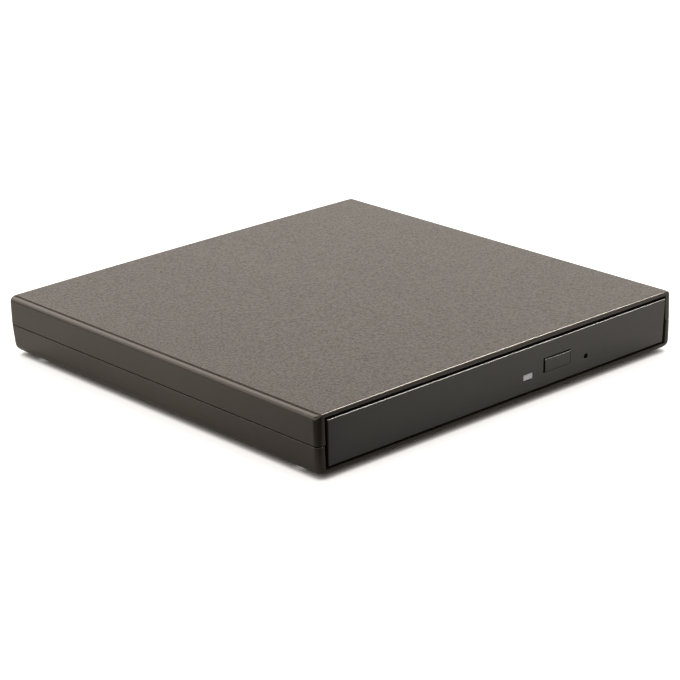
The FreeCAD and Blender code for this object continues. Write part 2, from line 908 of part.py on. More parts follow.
def tray_pieces():
    """The tray's plate, disc rim, skirts, tongues in the rails, posts and ribs, before its holes."""
    y0 = bezel_back
    y1 = tray_back
    wide = chassis_inner - tray_wall_gap
    plate = block(-skirt_outer, skirt_outer, y0, y1, tray_low, tray_top)
    rim = block(-wide, wide, y0, y1, tray_top, tray_top + tray_rim)
    rim = rim.cut(hub_disc(disc_radius + recess_clearance, tray_top, tray_top + tray_rim + cut_past))
    reach = disc_radius * open_share
    rim = rim.cut(block(-wide - cut_past, -wide + open_side, hub_y - reach, hub_y + reach,
                        tray_top, plate_low))
    front_wall = block(-skirt_outer, skirt_outer, y0, y0 + tray_skirt, pan_top + pan_clearance, tray_low)
    pieces = [plate, rim, front_wall]
    for side in (-1, 1):
        skirt = block(side * skirt_inner, side * skirt_outer, y0, y1, tongue_low, tray_low)
        tongue = block(side * skirt_inner, side * tongue_outer, y0 + tongue_setback, y1 - tongue_setback,
                       tongue_low, tongue_high)
        near = pin_hole_offset + side * (slider_half + slide_clearance)
        rib_start = y0 + slider_rib_setback
        rib_end = rib_start + slider_length - release_travel - slider_rib_end_gap
        rib = block(near, near + side * slider_rib, rib_start, rib_end,
                    pin_hole_z - slider_drop, tray_low)
        pieces += [skirt, tongue, rib]
    for x in board_post_x():
        pieces.append(upright(x, front_board_y + board_post_setback, board_post_radius,
                              front_board_z + board_thickness, tray_low))
    for u, v in damper_places():
        x, y = path_point(u, v)
        pieces.append(upright(x, y, screw_shank + damper_boss, frame_high + damper_ring, tray_low))
    pieces.append(block(ejector_x - ejector_rib_half, ejector_x + ejector_rib_half,
                        tray_back - ejector_depth, rib_back_y(),
                        ejector_z - ejector_rod_radius - ejector_rib_wall, tray_low))
    return pieces


def make_tray():
    cuts = [placed_on_path(tray_opening(0.0, tray_low - cut_past, tray_top + cut_past))]
    for u, v in damper_places():
        x, y = path_point(u, v)
        cuts.append(upright(x, y, screw_shank, frame_high, tray_top - blind_depth))
        cuts.append(upright(x, y, damper_radius + fixed_gap, pan_top, frame_high + damper_ring))
    for u, v in cover_screw_places():
        x, y = path_point(u, v)
        cuts.append(upright(x, y, screw_shank * cover_screw_share, tray_low - cut_past,
                            tray_top - blind_depth))
    y0 = bezel_back - cut_past
    y1 = bezel_back + tray_skirt + cut_past
    half = button_width / 2 + button_gap + cut_past
    cuts.append(block(button_offset - half, button_offset + half, y0, y1,
                      button_z - button_height / 2 - button_cut_room, tray_low))
    half = window_width / 2 + button_gap
    cuts.append(block(window_offset - half, window_offset + half, y0, y1,
                      window_z - window_height / 2 - button_gap, window_z + window_height / 2 + button_gap))
    cuts.append(lying(pin_hole_offset, pin_hole_z, pin_hole_radius + button_gap, y0, y1))
    cuts.append(lying(ejector_x, ejector_z, ejector_rod_radius + rod_clearance,
                      tray_back - ejector_depth - cut_past, rib_back_y() + cut_past))
    return without(joined(tray_pieces()), cuts)


def bezel_face_y(z):
    """The leaning front face: behind the case's front at its foot and proud of it at its top."""
    share = (z - bezel_low) / (bezel_high - bezel_low)
    return front + bezel_recess - share * (bezel_recess + bezel_proud)


def bezel_solid(inset, y_front, y_back):
    """A block drafted at the sides, with its front face leaning forward towards the top."""
    wide = bezel_half - inset
    narrow = wide - bezel_side_draft
    z0 = bezel_low + inset
    z1 = bezel_high - inset
    y0 = front - bezel_depth
    sides = polygon_prism([(-narrow, y0, z0), (narrow, y0, z0), (wide, y0, z1), (-wide, y0, z1)],
                          (0, 4 * bezel_depth, 0))
    lean = polygon_prism([
        (-case_half, bezel_face_y(z0) + y_front, z0), (-case_half, bezel_face_y(z1) + y_front, z1),
        (-case_half, y_back, z1), (-case_half, y_back, z0)], (case_width, 0, 0))
    return sides.common(lean)


def make_bezel():
    outer = bezel_solid(0.0, 0.0, bezel_back)
    shell = outer.cut(bezel_solid(bezel_flange, bezel_wall, bezel_back + cut_past))
    clips = []
    near = skirt_inner - clip_inset
    clip_low = tray_top + sink
    right_middle = (button_offset + button_width / 2 + near) / 2
    for x in (-near, -near / 2, right_middle, near):
        clips.append(block(x - clip_half, x + clip_half, front + bezel_wall - clip_root, bezel_back,
                           clip_low, clip_low + clip_sheet))
    shell = joined([shell] + clips)
    y0 = front - 3 * cut_past
    y1 = front + bezel_wall + cut_past
    half = button_width / 2 + button_gap
    cuts = [
        block(button_offset - half, button_offset + half, y0, y1,
              button_z - button_height / 2 - button_low_gap, button_z + button_height / 2 + button_gap),
        block(window_offset - window_width / 2, window_offset + window_width / 2, y0, y1,
              window_z - window_height / 2, window_z + window_height / 2),
        lying(pin_hole_offset, pin_hole_z, pin_hole_radius, y0, y1),
    ]
    return without(shell, cuts)


def leaning_block(x0, x1, z0, z1, stand, y_back):
    """A block whose front is parallel to the bezel's face and stands out from it by a given step."""
    return polygon_prism([
        (x0, bezel_face_y(z0) - stand, z0), (x0, bezel_face_y(z1) - stand, z1),
        (x0, y_back, z1), (x0, y_back, z0)], (x1 - x0, 0, 0))


def make_eject_button():
    """A cap in the bezel's hole, a flange behind the hole's edge and a tail to the switch."""
    half = button_width / 2
    low = button_z - button_height / 2
    high = button_z + button_height / 2
    side = button_gap + button_flange
    flange_y = front + bezel_wall + bezel_recess + near_gap
    cap = leaning_block(button_offset - half, button_offset + half, low, high, button_proud, flange_y + sink)
    flange = block(button_offset - half - side, button_offset + half + side, flange_y,
                   flange_y + button_flange_sheet, low - side, min(high + side, tray_top - near_gap))
    tail_low = low + button_tail_rise
    tail = block(button_offset - button_tail_half, button_offset + button_tail_half, flange_y, plunger_front,
                 tail_low, tail_low + button_tail_height)
    return joined([cap, flange, tail])


def make_switch_plunger():
    return lying(button_offset, plunger_z, plunger_radius, plunger_front, plunger_front + plunger_length)


def make_eject_switch():
    y0 = plunger_front + switch_gap
    z0 = front_board_z + board_thickness
    body = block(button_offset - switch_half, button_offset + switch_half, y0, y0 + switch_depth,
                 z0, z0 + switch_depth)
    bore_end = plunger_front + plunger_length + button_travel + blind_room
    return body.cut(lying(button_offset, plunger_z, plunger_radius + near_gap, y0 - cut_past, bore_end))


def make_led_window():
    """The light pipe from the bezel's face back to the status light."""
    half = window_width / 2
    return leaning_block(window_offset - half, window_offset + half, window_z - window_height / 2,
                         window_z + window_height / 2, -window_recess, front_board_y + window_reach)


def make_status_led():
    y0 = front_board_y + window_reach + near_gap
    z0 = front_board_z + board_thickness
    return block(window_offset - led_half, window_offset + led_half, y0, y0 + led_depth, z0, z0 + led_height)


def board_post_x():
    return [window_offset - post_left, pin_hole_offset - post_right]


def make_front_board():
    return block(window_offset - front_board_left, pin_hole_offset - front_board_right,
                 front_board_y, front_board_y + front_board_depth,
                 front_board_z, front_board_z + board_thickness)


def traverse_front():
    """How far ahead of the hub the slanted traverse frame reaches."""
    x, y = path_point(frame_start, frame_half_width + screw_side_width)
    return hub_y - y


def tray_board_box():
    """Low and high corners of the tray's main board, under the front of the tray."""
    return (-skirt_inner + tray_board_inset, front_board_y + tray_board_setback,
            pin_hole_offset - tray_board_right, hub_y - traverse_front() - tray_board_gap)


def make_tray_board():
    x0, y0, x1, y1 = tray_board_box()
    return block(x0, x1, y0, y1, tray_low - board_thickness, tray_low)


def make_tray_board_chips():
    """Three flat packages in a row, then two rows of small parts as far as the board reaches."""
    x0, y0, x1, y1 = tray_board_box()
    high = tray_low - board_thickness
    middle = (y0 + y1) / 2
    chips = []
    x = x0 + chip_inset
    for size in (chip_large, chip_medium, chip_medium):
        chips.append(block(x, x + size, middle - size / 2, middle + size / 2, high - chip_height, high))
        x += size + chip_gap
    while x + small_chip_length < x1 - small_chip_length:
        for y in (middle - small_chip_side, middle + small_chip_side):
            chips.append(block(x, x + small_chip_length, y - small_chip_width / 2, y + small_chip_width / 2,
                               high - small_chip_height, high))
        x += small_chip_pitch
    return Part.makeCompound(chips)


def make_traverse_plate():
    """The traverse frame in the path's own frame, with lugs that hold the guide rods and the screw."""
    side = frame_half_width + screw_side_width
    plate = block(frame_start, frame_end, -frame_half_width, side, frame_low, frame_high)
    pieces = [plate]
    lug_low = rod_z - rod_radius - lug_drop
    lug_high = frame_low + near_gap
    for u0, u1 in ((pickup_gap_u - lug_thickness, pickup_gap_u), (pickup_end + frame_end_room, frame_end)):
        for v in (-rod_offset, rod_offset):
            pieces.append(block(u0, u1, v - lug_half, v + lug_half, lug_low, lug_high))
    end_lug = screw_end + end_lug_gap
    pieces.append(block(end_lug, end_lug + end_lug_thickness,
                        screw_offset - lug_half, screw_offset + lug_half, lug_low, lug_high))
    frame = joined(pieces)
    tall = 2 * mechanism_height
    cuts = [Part.makeCylinder(table_radius + motor_gap, tall, FreeCAD.Vector(0, 0, frame_low - near_gap))]
    half = pickup_half_width + pickup_gap
    cuts.append(block(pickup_gap_u, pickup_end + frame_end_room, -half, half,
                      frame_low - cut_past, frame_high + cut_past))
    for v in (-rod_offset, rod_offset):
        cuts.append(along_path(v, rod_z, rod_radius, pickup_gap_u - 2 * lug_thickness, frame_end + cut_past))
    cuts.append(along_path(screw_offset, rod_z, screw_journal + journal_clearance,
                           screw_end - cut_past, frame_end))
    cuts.append(block(motor_start - fixed_gap, screw_start, screw_offset - motor_radius - motor_notch_gap,
                      side + cut_past, frame_low - cut_past, frame_high + cut_past))
    for u, v in damper_places():
        cuts.append(Part.makeCylinder(damper_radius - damper_groove, tall,
                                      FreeCAD.Vector(u, v, frame_low - mechanism_height)))
    frame = placed_on_path(without(frame, cuts))
    limit = skirt_inner - frame_wall_gap
    return frame.common(block(-limit, limit, front, back, base, top))


def make_guide_rods():
    start = pickup_gap_u - lug_thickness
    rods = [along_path(v, rod_z, rod_radius, start, frame_end) for v in (-rod_offset, rod_offset)]
    return placed_on_path(Part.makeCompound(rods))


def make_feed_motor():
    can = along_path(screw_offset, rod_z, motor_radius, motor_start, motor_start + motor_length)
    bore = along_path(screw_offset, rod_z, motor_bore, motor_start + motor_bore_start, screw_start)
    return placed_on_path(can.cut(bore))


def make_lead_screw():
    """A shaft with one helical thread, whose ends turn in the motor and in the frame's lug."""
    root = screw_radius - screw_thread_depth
    depth = screw_thread_depth
    core = along_path(screw_offset, rod_z, root, screw_start, screw_end)
    ends = along_path(screw_offset, rod_z, screw_journal, motor_start + motor_bore_start + cut_past,
                      screw_end + journal_reach)
    end_room = depth + thread_end_room
    helix = Part.makeHelix(screw_pitch, screw_end - screw_start - 2 * end_room, root)
    vec = FreeCAD.Vector
    crest = depth * 0.4
    foot = root - thread_sink
    profile = Part.makePolygon([vec(foot, 0, -depth), vec(root + depth, 0, -crest),
                                vec(root + depth, 0, crest), vec(foot, 0, depth), vec(foot, 0, -depth)])
    thread = Part.Wire(helix).makePipeShell([profile], True, True)
    thread.rotate(vec(0, 0, 0), vec(0, 1, 0), 90)
    thread.translate(vec(screw_start + end_room, screw_offset, rod_z))
    return placed_on_path(joined([core, ends, thread]))


def make_traverse_dampers():
    dampers = []
    foot_low = frame_low - damper_foot
    for u, v in damper_places():
        ring = upright(u, v, damper_radius, frame_high, frame_high + damper_ring)
        neck = upright(u, v, damper_radius - damper_groove, frame_low, frame_high)
        foot = upright(u, v, damper_radius, foot_low, frame_low)
        hole = upright(u, v, screw_shank, foot_low - cut_past, tray_low)
        dampers.append(ring.fuse(neck).fuse(foot).removeSplitter().cut(hole))
    return placed_on_path(Part.makeCompound(dampers))


def make_traverse_screws():
    seat = frame_low - damper_foot
    return placed_on_path(Part.makeCompound([
        screw(u, v, seat, tray_top - blind_depth - near_gap, screw_head_radius, flat_head_height, screw_shank)
        for u, v in damper_places()]))


def make_spindle_stator():
    """A flange under the frame and a core that stands up inside the turntable's cup."""
    outer = table_radius + motor_gap
    flange = hub_disc(outer, frame_low - stator_flange, frame_low)
    rim = hub_disc(outer, frame_low, frame_low + stator_rim)
    core = hub_disc(table_radius - table_thickness - motor_gap, frame_low,
                    disc_low - table_thickness - stator_top_gap)
    stator = joined([flange, rim, core])
    return stator.cut(hub_disc(bearing_outer, frame_low - bearing_seat, disc_low))


def make_spindle_bearing():
    sleeve = hub_disc(bearing_outer, frame_low - bearing_seat, disc_low - table_thickness - bearing_top_gap)
    return sleeve.cut(hub_disc(shaft_radius + bearing_clearance, frame_low - near_gap, disc_low))


def make_spindle_shaft():
    return hub_disc(shaft_radius, frame_low + thrust_gap, disc_low + hub_height - shaft_set_down)


def slot_block(angle, r0, r1, half, z0, z1):
    shape = block(r0, r1, -half, half, z0, z1)
    shape.rotate(FreeCAD.Vector(0, 0, 0), FreeCAD.Vector(0, 0, 1), angle)
    shape.translate(FreeCAD.Vector(0, hub_y, 0))
    return shape


def ring_groove(z0, z1):
    """The band under the disc that the rubber ring fills."""
    outer = table_radius - ring_inset
    return hub_disc(outer, z0, z1).cut(hub_disc(outer - ring_width, z0 - cut_past, z1 + cut_past))


def make_turntable():
    """A cup over the stator, with a hub that fills the disc's hole and slots for the three jaws."""
    cup = hub_disc(table_radius, rotor_low, disc_low)
    cup = cup.cut(hub_disc(table_radius - table_thickness, rotor_low - cut_past, disc_low - table_thickness))
    cup = cup.cut(ring_groove(disc_low - ring_depth, disc_low + cut_past))
    hub = hub_disc(hub_radius, disc_low - near_gap, disc_low + hub_height)
    table = joined([cup, hub])
    cuts = [hub_disc(shaft_radius, disc_low - 2 * cut_past, disc_low + hub_height - shaft_set_down)]
    low = jaw_low - jaw_clearance / 2
    for angle in jaw_angles:
        cuts.append(slot_block(angle, jaw_start - jaw_back_room, disc_hole_diameter,
                               jaw_width / 2 + jaw_clearance, low, low + jaw_thickness + jaw_clearance))
    return without(table, cuts)


def make_clamp_jaw(angle):
    return slot_block(angle, jaw_start, hub_radius + jaw_reach, jaw_width / 2,
                      jaw_low, jaw_low + jaw_thickness)


def make_turntable_ring():
    return ring_groove(disc_low - ring_depth, disc_low)


def make_pickup():
    """The pickup's body at its inner end, with a bushing on one rod and a fork on the other."""
    u0 = pickup_start - pickup_inner
    u1 = pickup_start + pickup_outer
    body = block(u0, u1, -pickup_half_width, pickup_half_width, pickup_low, pickup_high)
    bush_low = rod_z - rod_radius - bush_drop
    bush_high = frame_low - fixed_gap
    bush = block(u0 + bush_inset, u1 - bush_inset, pickup_half_width - near_gap, bush_edge,
                 bush_low, bush_high)
    fork = block(u0 + fork_inset, u1 - fork_inset, -rod_offset - fork_reach, -pickup_half_width + near_gap,
                 bush_low, bush_high)
    body = joined([body, bush, fork])
    bore = rod_radius + rod_clearance
    cuts = [along_path(v, rod_z, bore, u0 - cut_past, u1 + cut_past) for v in (-rod_offset, rod_offset)]
    cuts.append(block(u0, u1, -rod_offset - 2 * fork_reach, -rod_offset, rod_z - bore, rod_z + bore))
    half = lens_holder_size / 2 + lens_well_room
    cuts.append(block(pickup_start - half, u1 + cut_past, -half, half, well_low, pickup_high + cut_past))
    return placed_on_path(without(body, cuts))


def make_pickup_follower():
    """The nut segment that the lead screw drives, on an arm beside the bushing."""
    reach = screw_offset - screw_radius * follower_share
    arm = block(pickup_start - follower_back, pickup_start - follower_ahead, bush_edge, reach,
                rod_z - follower_drop, rod_z + follower_rise)
    bore = along_path(screw_offset, rod_z, screw_radius + follower_clearance, 0, frame_end)
    return placed_on_path(arm.cut(bore))


def make_lens_holder():
    half = lens_holder_size / 2
    low = well_low + lens_travel + near_gap
    holder = block(pickup_start - half, pickup_start + half - lens_holder_short, -half, half,
                   low, lens_high - lens_holder_step)
    collar = upright(pickup_start, 0, lens_radius + lens_rim, lens_high - lens_collar, lens_high)
    bore = upright(pickup_start, 0, lens_radius, low + lens_floor, tray_top + cut_past)
    return placed_on_path(joined([holder, collar]).cut(bore))


def make_objective_lens():
    low = well_low + lens_travel + near_gap + lens_floor
    rim = upright(pickup_start, 0, lens_radius, low, lens_high - lens_seat)
    bulge = Part.makeSphere(lens_radius * 2, FreeCAD.Vector(pickup_start, 0, lens_high - lens_radius * 2))
    cap = upright(pickup_start, 0, lens_radius * 0.9, lens_high - lens_collar, lens_high)
    return placed_on_path(rim.fuse(cap.common(bulge)).removeSplitter())


def make_mechanism_cover():
    """A thin plate under the tray round its opening, in the path's own frame."""
    u0 = -(table_radius + motor_gap + cover_hub_room)
    low = tray_low - cover_sheet
    plate = rounded_block(u0, frame_end + frame_end_room, -(frame_half_width + cover_side),
                          screw_offset + cover_far_side, cover_corner, low, tray_low)
    cuts = [tray_opening(-cover_lip, tray_low - cut_past, tray_top)]
    for u, v in cover_screw_places():
        cuts.append(upright(u, v, screw_shank * cover_screw_share, low - cut_past, tray_low + cut_past))
    for u, v in damper_places():
        cuts.append(upright(u, v, screw_shank + damper_boss + near_gap, low - cut_past, tray_low + cut_past))
    plate = placed_on_path(without(plate, cuts))
    limit = skirt_inner - fixed_gap
    board_back = tray_board_box()[3]
    return plate.common(block(-limit, limit, board_back + fixed_gap, tray_back - cut_past, base, top))


def make_cover_screws():
    return placed_on_path(Part.makeCompound([
        screw(u, v, tray_low - cover_sheet, tray_top - blind_depth - near_gap,
              screw_head_radius * cover_screw_share, flat_head_height, screw_shank * cover_screw_share)
        for u, v in cover_screw_places()]))


def latch_pivot():
    return latch_x - lever_side, latch_post_y + lever_length


def make_latch_post():
    post = upright(latch_x, latch_post_y, latch_post_radius, pan_top, pan_top + latch_post_height)
    foot = upright(latch_x, latch_post_y, latch_post_radius + latch_post_foot, pan_top,
                   pan_top + latch_post_foot_sheet)
    return post.fuse(foot).removeSplitter()


def hooked_lever():
    """The lever as it lies when its tooth is behind the post."""
    px, py = latch_pivot()
    z = lever_low
    high = z + lever_thickness
    half = lever_arm_half
    tooth_y = latch_post_y + latch_post_radius + tooth_gap
    tip = latch_x + tooth_reach
    arm = polygon_prism([
        (px - half, py, z), (px - tooth_reach, tooth_y - tooth_root, z),
        (latch_x - latch_post_radius - half, tooth_y - tooth_slant, z),
        (tip - tooth_tip, tooth_y, z), (tip, tooth_y, z), (tip, tooth_y + tooth_back, z),
        (px + half + tooth_reach, tooth_y + tooth_back + tooth_root, z), (px + half, py, z)],
        (0, 0, lever_thickness))
    hub = upright(px, py, lever_hub_radius, z, high)
    tail = block(px - lever_tail_length, px, py + near_gap, py + near_gap + lever_tail_width, z, high)
    return joined([arm, hub, tail])


def make_latch_lever():
    """The lever at rest, swung clear of the post so that the tray is free."""
    px, py = latch_pivot()
    lever = hooked_lever()
    lever.rotate(FreeCAD.Vector(px, py, 0), FreeCAD.Vector(0, 0, 1), -latch_swing)
    return lever.cut(upright(px, py, pivot_radius + rod_clearance, lever_low - cut_past, tray_low))


def make_latch_pivot_pin():
    px, py = latch_pivot()
    low = lever_low - near_gap - pivot_foot_sheet
    pin = upright(px, py, pivot_radius, low, tray_low)
    return pin.fuse(upright(px, py, pivot_foot_radius, low, low + pivot_foot_sheet)).removeSplitter()


def yoke_box():
    px, py = latch_pivot()
    x1 = px - yoke_side
    y0 = py + yoke_back
    return x1 - yoke_width, y0, x1, y0 + yoke_depth


def make_latch_yoke():
    """A folded bracket under the tray, open at its sides, that carries the latch's coil."""
    x0, y0, x1, y1 = yoke_box()
    yoke = block(x0, x1, y0, y1, tray_low - yoke_height, tray_low)
    yoke = yoke.cut(block(x0 - cut_past, x1 + cut_past, y0 + yoke_sheet, y1 - yoke_sheet,
                          tray_low - yoke_height - cut_past, tray_low - yoke_sheet))
    return yoke.cut(lying((x0 + x1) / 2, tray_low - coil_height, coil_core_radius,
                          y0 - cut_past, y1 + cut_past))


def make_latch_coil():
    x0, y0, x1, y1 = yoke_box()
    middle = (x0 + x1) / 2
    z = tray_low - coil_height
    coil = lying(middle, z, coil_radius, y0 + yoke_sheet, y1 - yoke_sheet)
    core = lying(middle, z, coil_core_radius, y0 - yoke_sheet / 2, y1 + sink)
    return coil.fuse(core).removeSplitter()


def make_release_slider():
    y0 = bezel_back + tray_skirt + sink
    return block(pin_hole_offset - slider_half, pin_hole_offset + slider_half, y0, y0 + slider_length,
                 pin_hole_z - slider_drop, tray_low - slide_clearance)


def spring_start():
    return rib_back_y() + spring_end_gap


def make_ejector_plunger():
    """A rod that stays pressed between the tray and the chassis's rear wall, with a collar on it."""
    y1 = chassis_back - chassis_sheet - near_gap
    rod = lying(ejector_x, ejector_z, ejector_rod_radius, tray_back - ejector_depth + sink, y1)
    collar_y = spring_start() + spring_length + spring_collar_gap
    collar = lying(ejector_x, ejector_z, ejector_collar_radius, collar_y, collar_y + ejector_collar)
    return rod.fuse(collar).removeSplitter()


def coil_spring(radius, wire, pitch, turns):
    """An upright coil from the origin, its wire swept along quarter-turn arcs."""
    quarter = math.pi / 2

    def turn_point(step):
        angle = quarter * step
        return FreeCAD.Vector(radius * math.cos(angle), radius * math.sin(angle), pitch * step / 4)

    arcs = []
    for step in range(int(turns * 4)):
        arcs.append(Part.Arc(turn_point(step), turn_point(step + 0.5), turn_point(step + 1)).toShape())
    along = FreeCAD.Vector(0, 2 * math.pi * radius, pitch)
    profile = Part.Wire([Part.makeCircle(wire, turn_point(0), along)])
    return Part.Wire(arcs).makePipeShell([profile], True, False)


def make_ejector_spring():
    """A coil spring between the tray's rib and the plunger's collar."""
    radius = ejector_rod_radius + spring_wire + spring_clearance
    pitch = (spring_length - 2 * spring_wire) / spring_turns
    spring = coil_spring(radius, spring_wire, pitch, spring_turns)
    spring.rotate(FreeCAD.Vector(0, 0, 0), FreeCAD.Vector(1, 0, 0), -90)
    spring.translate(FreeCAD.Vector(ejector_x, spring_start() + spring_wire, ejector_z))
    return spring


def rear_board_box():
    return (-skirt_inner + tray_board_inset, tray_back - rear_board_depth, skirt_inner - rear_board_inset,
            chassis_back - chassis_sheet - sink)


def make_rear_board():
    x0, y0, x1, y1 = rear_board_box()
    return block(x0, x1, y0, y1, pan_top, pan_top + board_thickness)


def make_sata_plug():
    """The drive's plug on its rear board, with a blade that reaches out through the chassis."""
    low = pan_top + board_thickness
    half = plug_width / 2
    body = block(plug_offset - half, plug_offset + half, rear_board_box()[3] - plug_depth,
                 chassis_back + near_gap, low, low + plug_height)
    blade_low = low + blade_rise
    blade = block(plug_offset - half + blade_inset, plug_offset + half - blade_inset, chassis_back,
                  chassis_back + blade_length, blade_low, blade_low + blade_sheet)
    return joined([body, blade])


def bridge_box():
    """Low and high corners of the board between the drive's plug and the rear wall."""
    y1 = back - case_wall - back_taper - fixed_gap
    x0 = plug_offset - plug_width / 2 - bridge_side
    return x0, chassis_back + bridge_gap, usb_offset + bridge_end, y1


def bridge_screw_places():
    x0, y0, x1, y1 = bridge_box()
    y = y1 - bridge_screw_back
    return [(x0 + bridge_screw_inset, y), (x1 - bridge_screw_inset, y)]


def make_bridge_board():
    x0, y0, x1, y1 = bridge_box()
    board = block(x0, x1, y0, y1, drive_base, drive_base + board_thickness)
    return without(board, [upright(x, y, screw_shank + screw_clearance, base, top)
                           for x, y in bridge_screw_places()])


def make_sata_socket():
    """The socket on the bridge board that the drive's blade goes into."""
    low = drive_base + board_thickness
    half = plug_width / 2 + socket_side
    y0 = chassis_back + bridge_gap
    body = block(plug_offset - half, plug_offset + half, y0, y0 + plug_depth, low, low + socket_height)
    mouth_low = pan_top + board_thickness + blade_rise - blade_clearance
    mouth_half = plug_width / 2 - blade_inset + 2 * blade_clearance
    mouth = block(plug_offset - mouth_half, plug_offset + mouth_half, y0 - cut_past,
                  chassis_back + blade_length + socket_side, mouth_low,
                  mouth_low + blade_sheet + 2 * blade_clearance)
    return body.cut(mouth)


def make_bridge_chips():
    """The bridge's main package, its crystal, one tall part and a row of small ones."""
    x0, y0, x1, y1 = bridge_box()
    low = drive_base + board_thickness
    x = plug_offset + plug_width / 2 + bridge_chip_side
    y = y0 + bridge_crystal_width
    crystal_x = x + bridge_chip + bridge_crystal_width
    part_x = x0 + bridge_side + socket_side
    part_y = y1 - bridge_part - switch_gap
    chips = [
        block(x, x + bridge_chip, y, y + bridge_chip, low, low + chip_height),
        block(crystal_x, crystal_x + bridge_crystal_length, y + bridge_crystal_width,
              y + 2 * bridge_crystal_width, low, low + chip_height),
        block(part_x, part_x + bridge_part, part_y, part_y + bridge_part, low, low + bridge_part_height),
    ]
    for step in range(4):
        x = plug_offset + (step - 1) * small_chip_pitch
        chips.append(block(x, x + small_chip_length, part_y + small_chip_width,
                           part_y + 2 * small_chip_width, low, low + small_chip_height))
    return Part.makeCompound(chips)


def make_bridge_screws():
    seat = drive_base + board_thickness
    return Part.makeCompound([
        screw(x, y, seat, floor - bridge_screw_bite, screw_head_radius, screw_head_height, screw_shank)
        for x, y in bridge_screw_places()])


def make_usb_socket():
    """The metal shell of the mini socket, open to the rear."""
    half = usb_width / 2
    inner_half = half - usb_sheet
    y0 = usb_back - usb_depth
    shell = block(usb_offset - half, usb_offset + half, y0, usb_back, usb_z, usb_z + usb_height)
    inner = block(usb_offset - inner_half, usb_offset + inner_half, y0 + usb_sheet, usb_back + cut_past,
                  usb_z + usb_sheet, usb_z + usb_height - usb_sheet)
    return shell.cut(inner)


def make_usb_tongue():
    """The insulator that fills the back of the shell, and the tongue that stands out of it."""
    y0 = usb_back - usb_depth + usb_sheet
    root_half = usb_width / 2 - usb_sheet
    half = root_half - usb_tongue_side
    low = usb_z + usb_sheet
    root = block(usb_offset - root_half, usb_offset + root_half, y0, y0 + usb_root_depth,
                 low, usb_z + usb_height - usb_sheet)
    tongue_z = low + usb_tongue_rise
    tongue = block(usb_offset - half, usb_offset + half, y0 + usb_root_depth - usb_sheet,
                   usb_back - usb_tongue_setback, tongue_z, tongue_z + usb_tongue_sheet)
    return joined([root, tongue])


def cable_ends():
    """Where the cable's fixed run starts, where it folds and where its moving run ends."""
    start = rear_board_box()[1] - fixed_gap
    fold = start - cable_fixed_run
    return start, fold, fold + cable_moving_run


def make_tray_cable():
    """A flat strip: one run on the pan, a round fold, and one run under the tray."""
    t = cable_thickness
    low = pan_top + cable_face_gap
    high = tray_low - cable_face_gap
    y_fixed, fold, y_moving = cable_ends()
    middle = (low + high) / 2
    r = (high - low) / 2
    x = cable_x - cable_width / 2
    vec = FreeCAD.Vector
    edges = [
        Part.makeLine(vec(x, y_fixed, low), vec(x, fold, low)),
        Part.Arc(vec(x, fold, low), vec(x, fold - r, middle), vec(x, fold, high)).toShape(),
        Part.makeLine(vec(x, fold, high), vec(x, y_moving, high)),
        Part.makeLine(vec(x, y_moving, high), vec(x, y_moving, high - t)),
        Part.makeLine(vec(x, y_moving, high - t), vec(x, fold, high - t)),
        Part.Arc(vec(x, fold, high - t), vec(x, fold - r + t, middle), vec(x, fold, low + t)).toShape(),
        Part.makeLine(vec(x, fold, low + t), vec(x, y_fixed, low + t)),
        Part.makeLine(vec(x, y_fixed, low + t), vec(x, y_fixed, low)),
    ]
    return Part.Face(Part.Wire(edges)).extrude(vec(cable_width, 0, 0))


def make_tray_cable_plug():
    y0 = cable_ends()[2]
    half = cable_width / 2 + cable_plug_side
    return block(cable_x - half, cable_x + half, y0, y0 + cable_plug_depth,
                 tray_low - cable_plug_height, tray_low)


def write(node, shape):
    shape.exportStep(os.path.join("parts", node + ".step"))
    print(node, len(shape.Solids), round(shape.Volume, 2), shape.isValid())


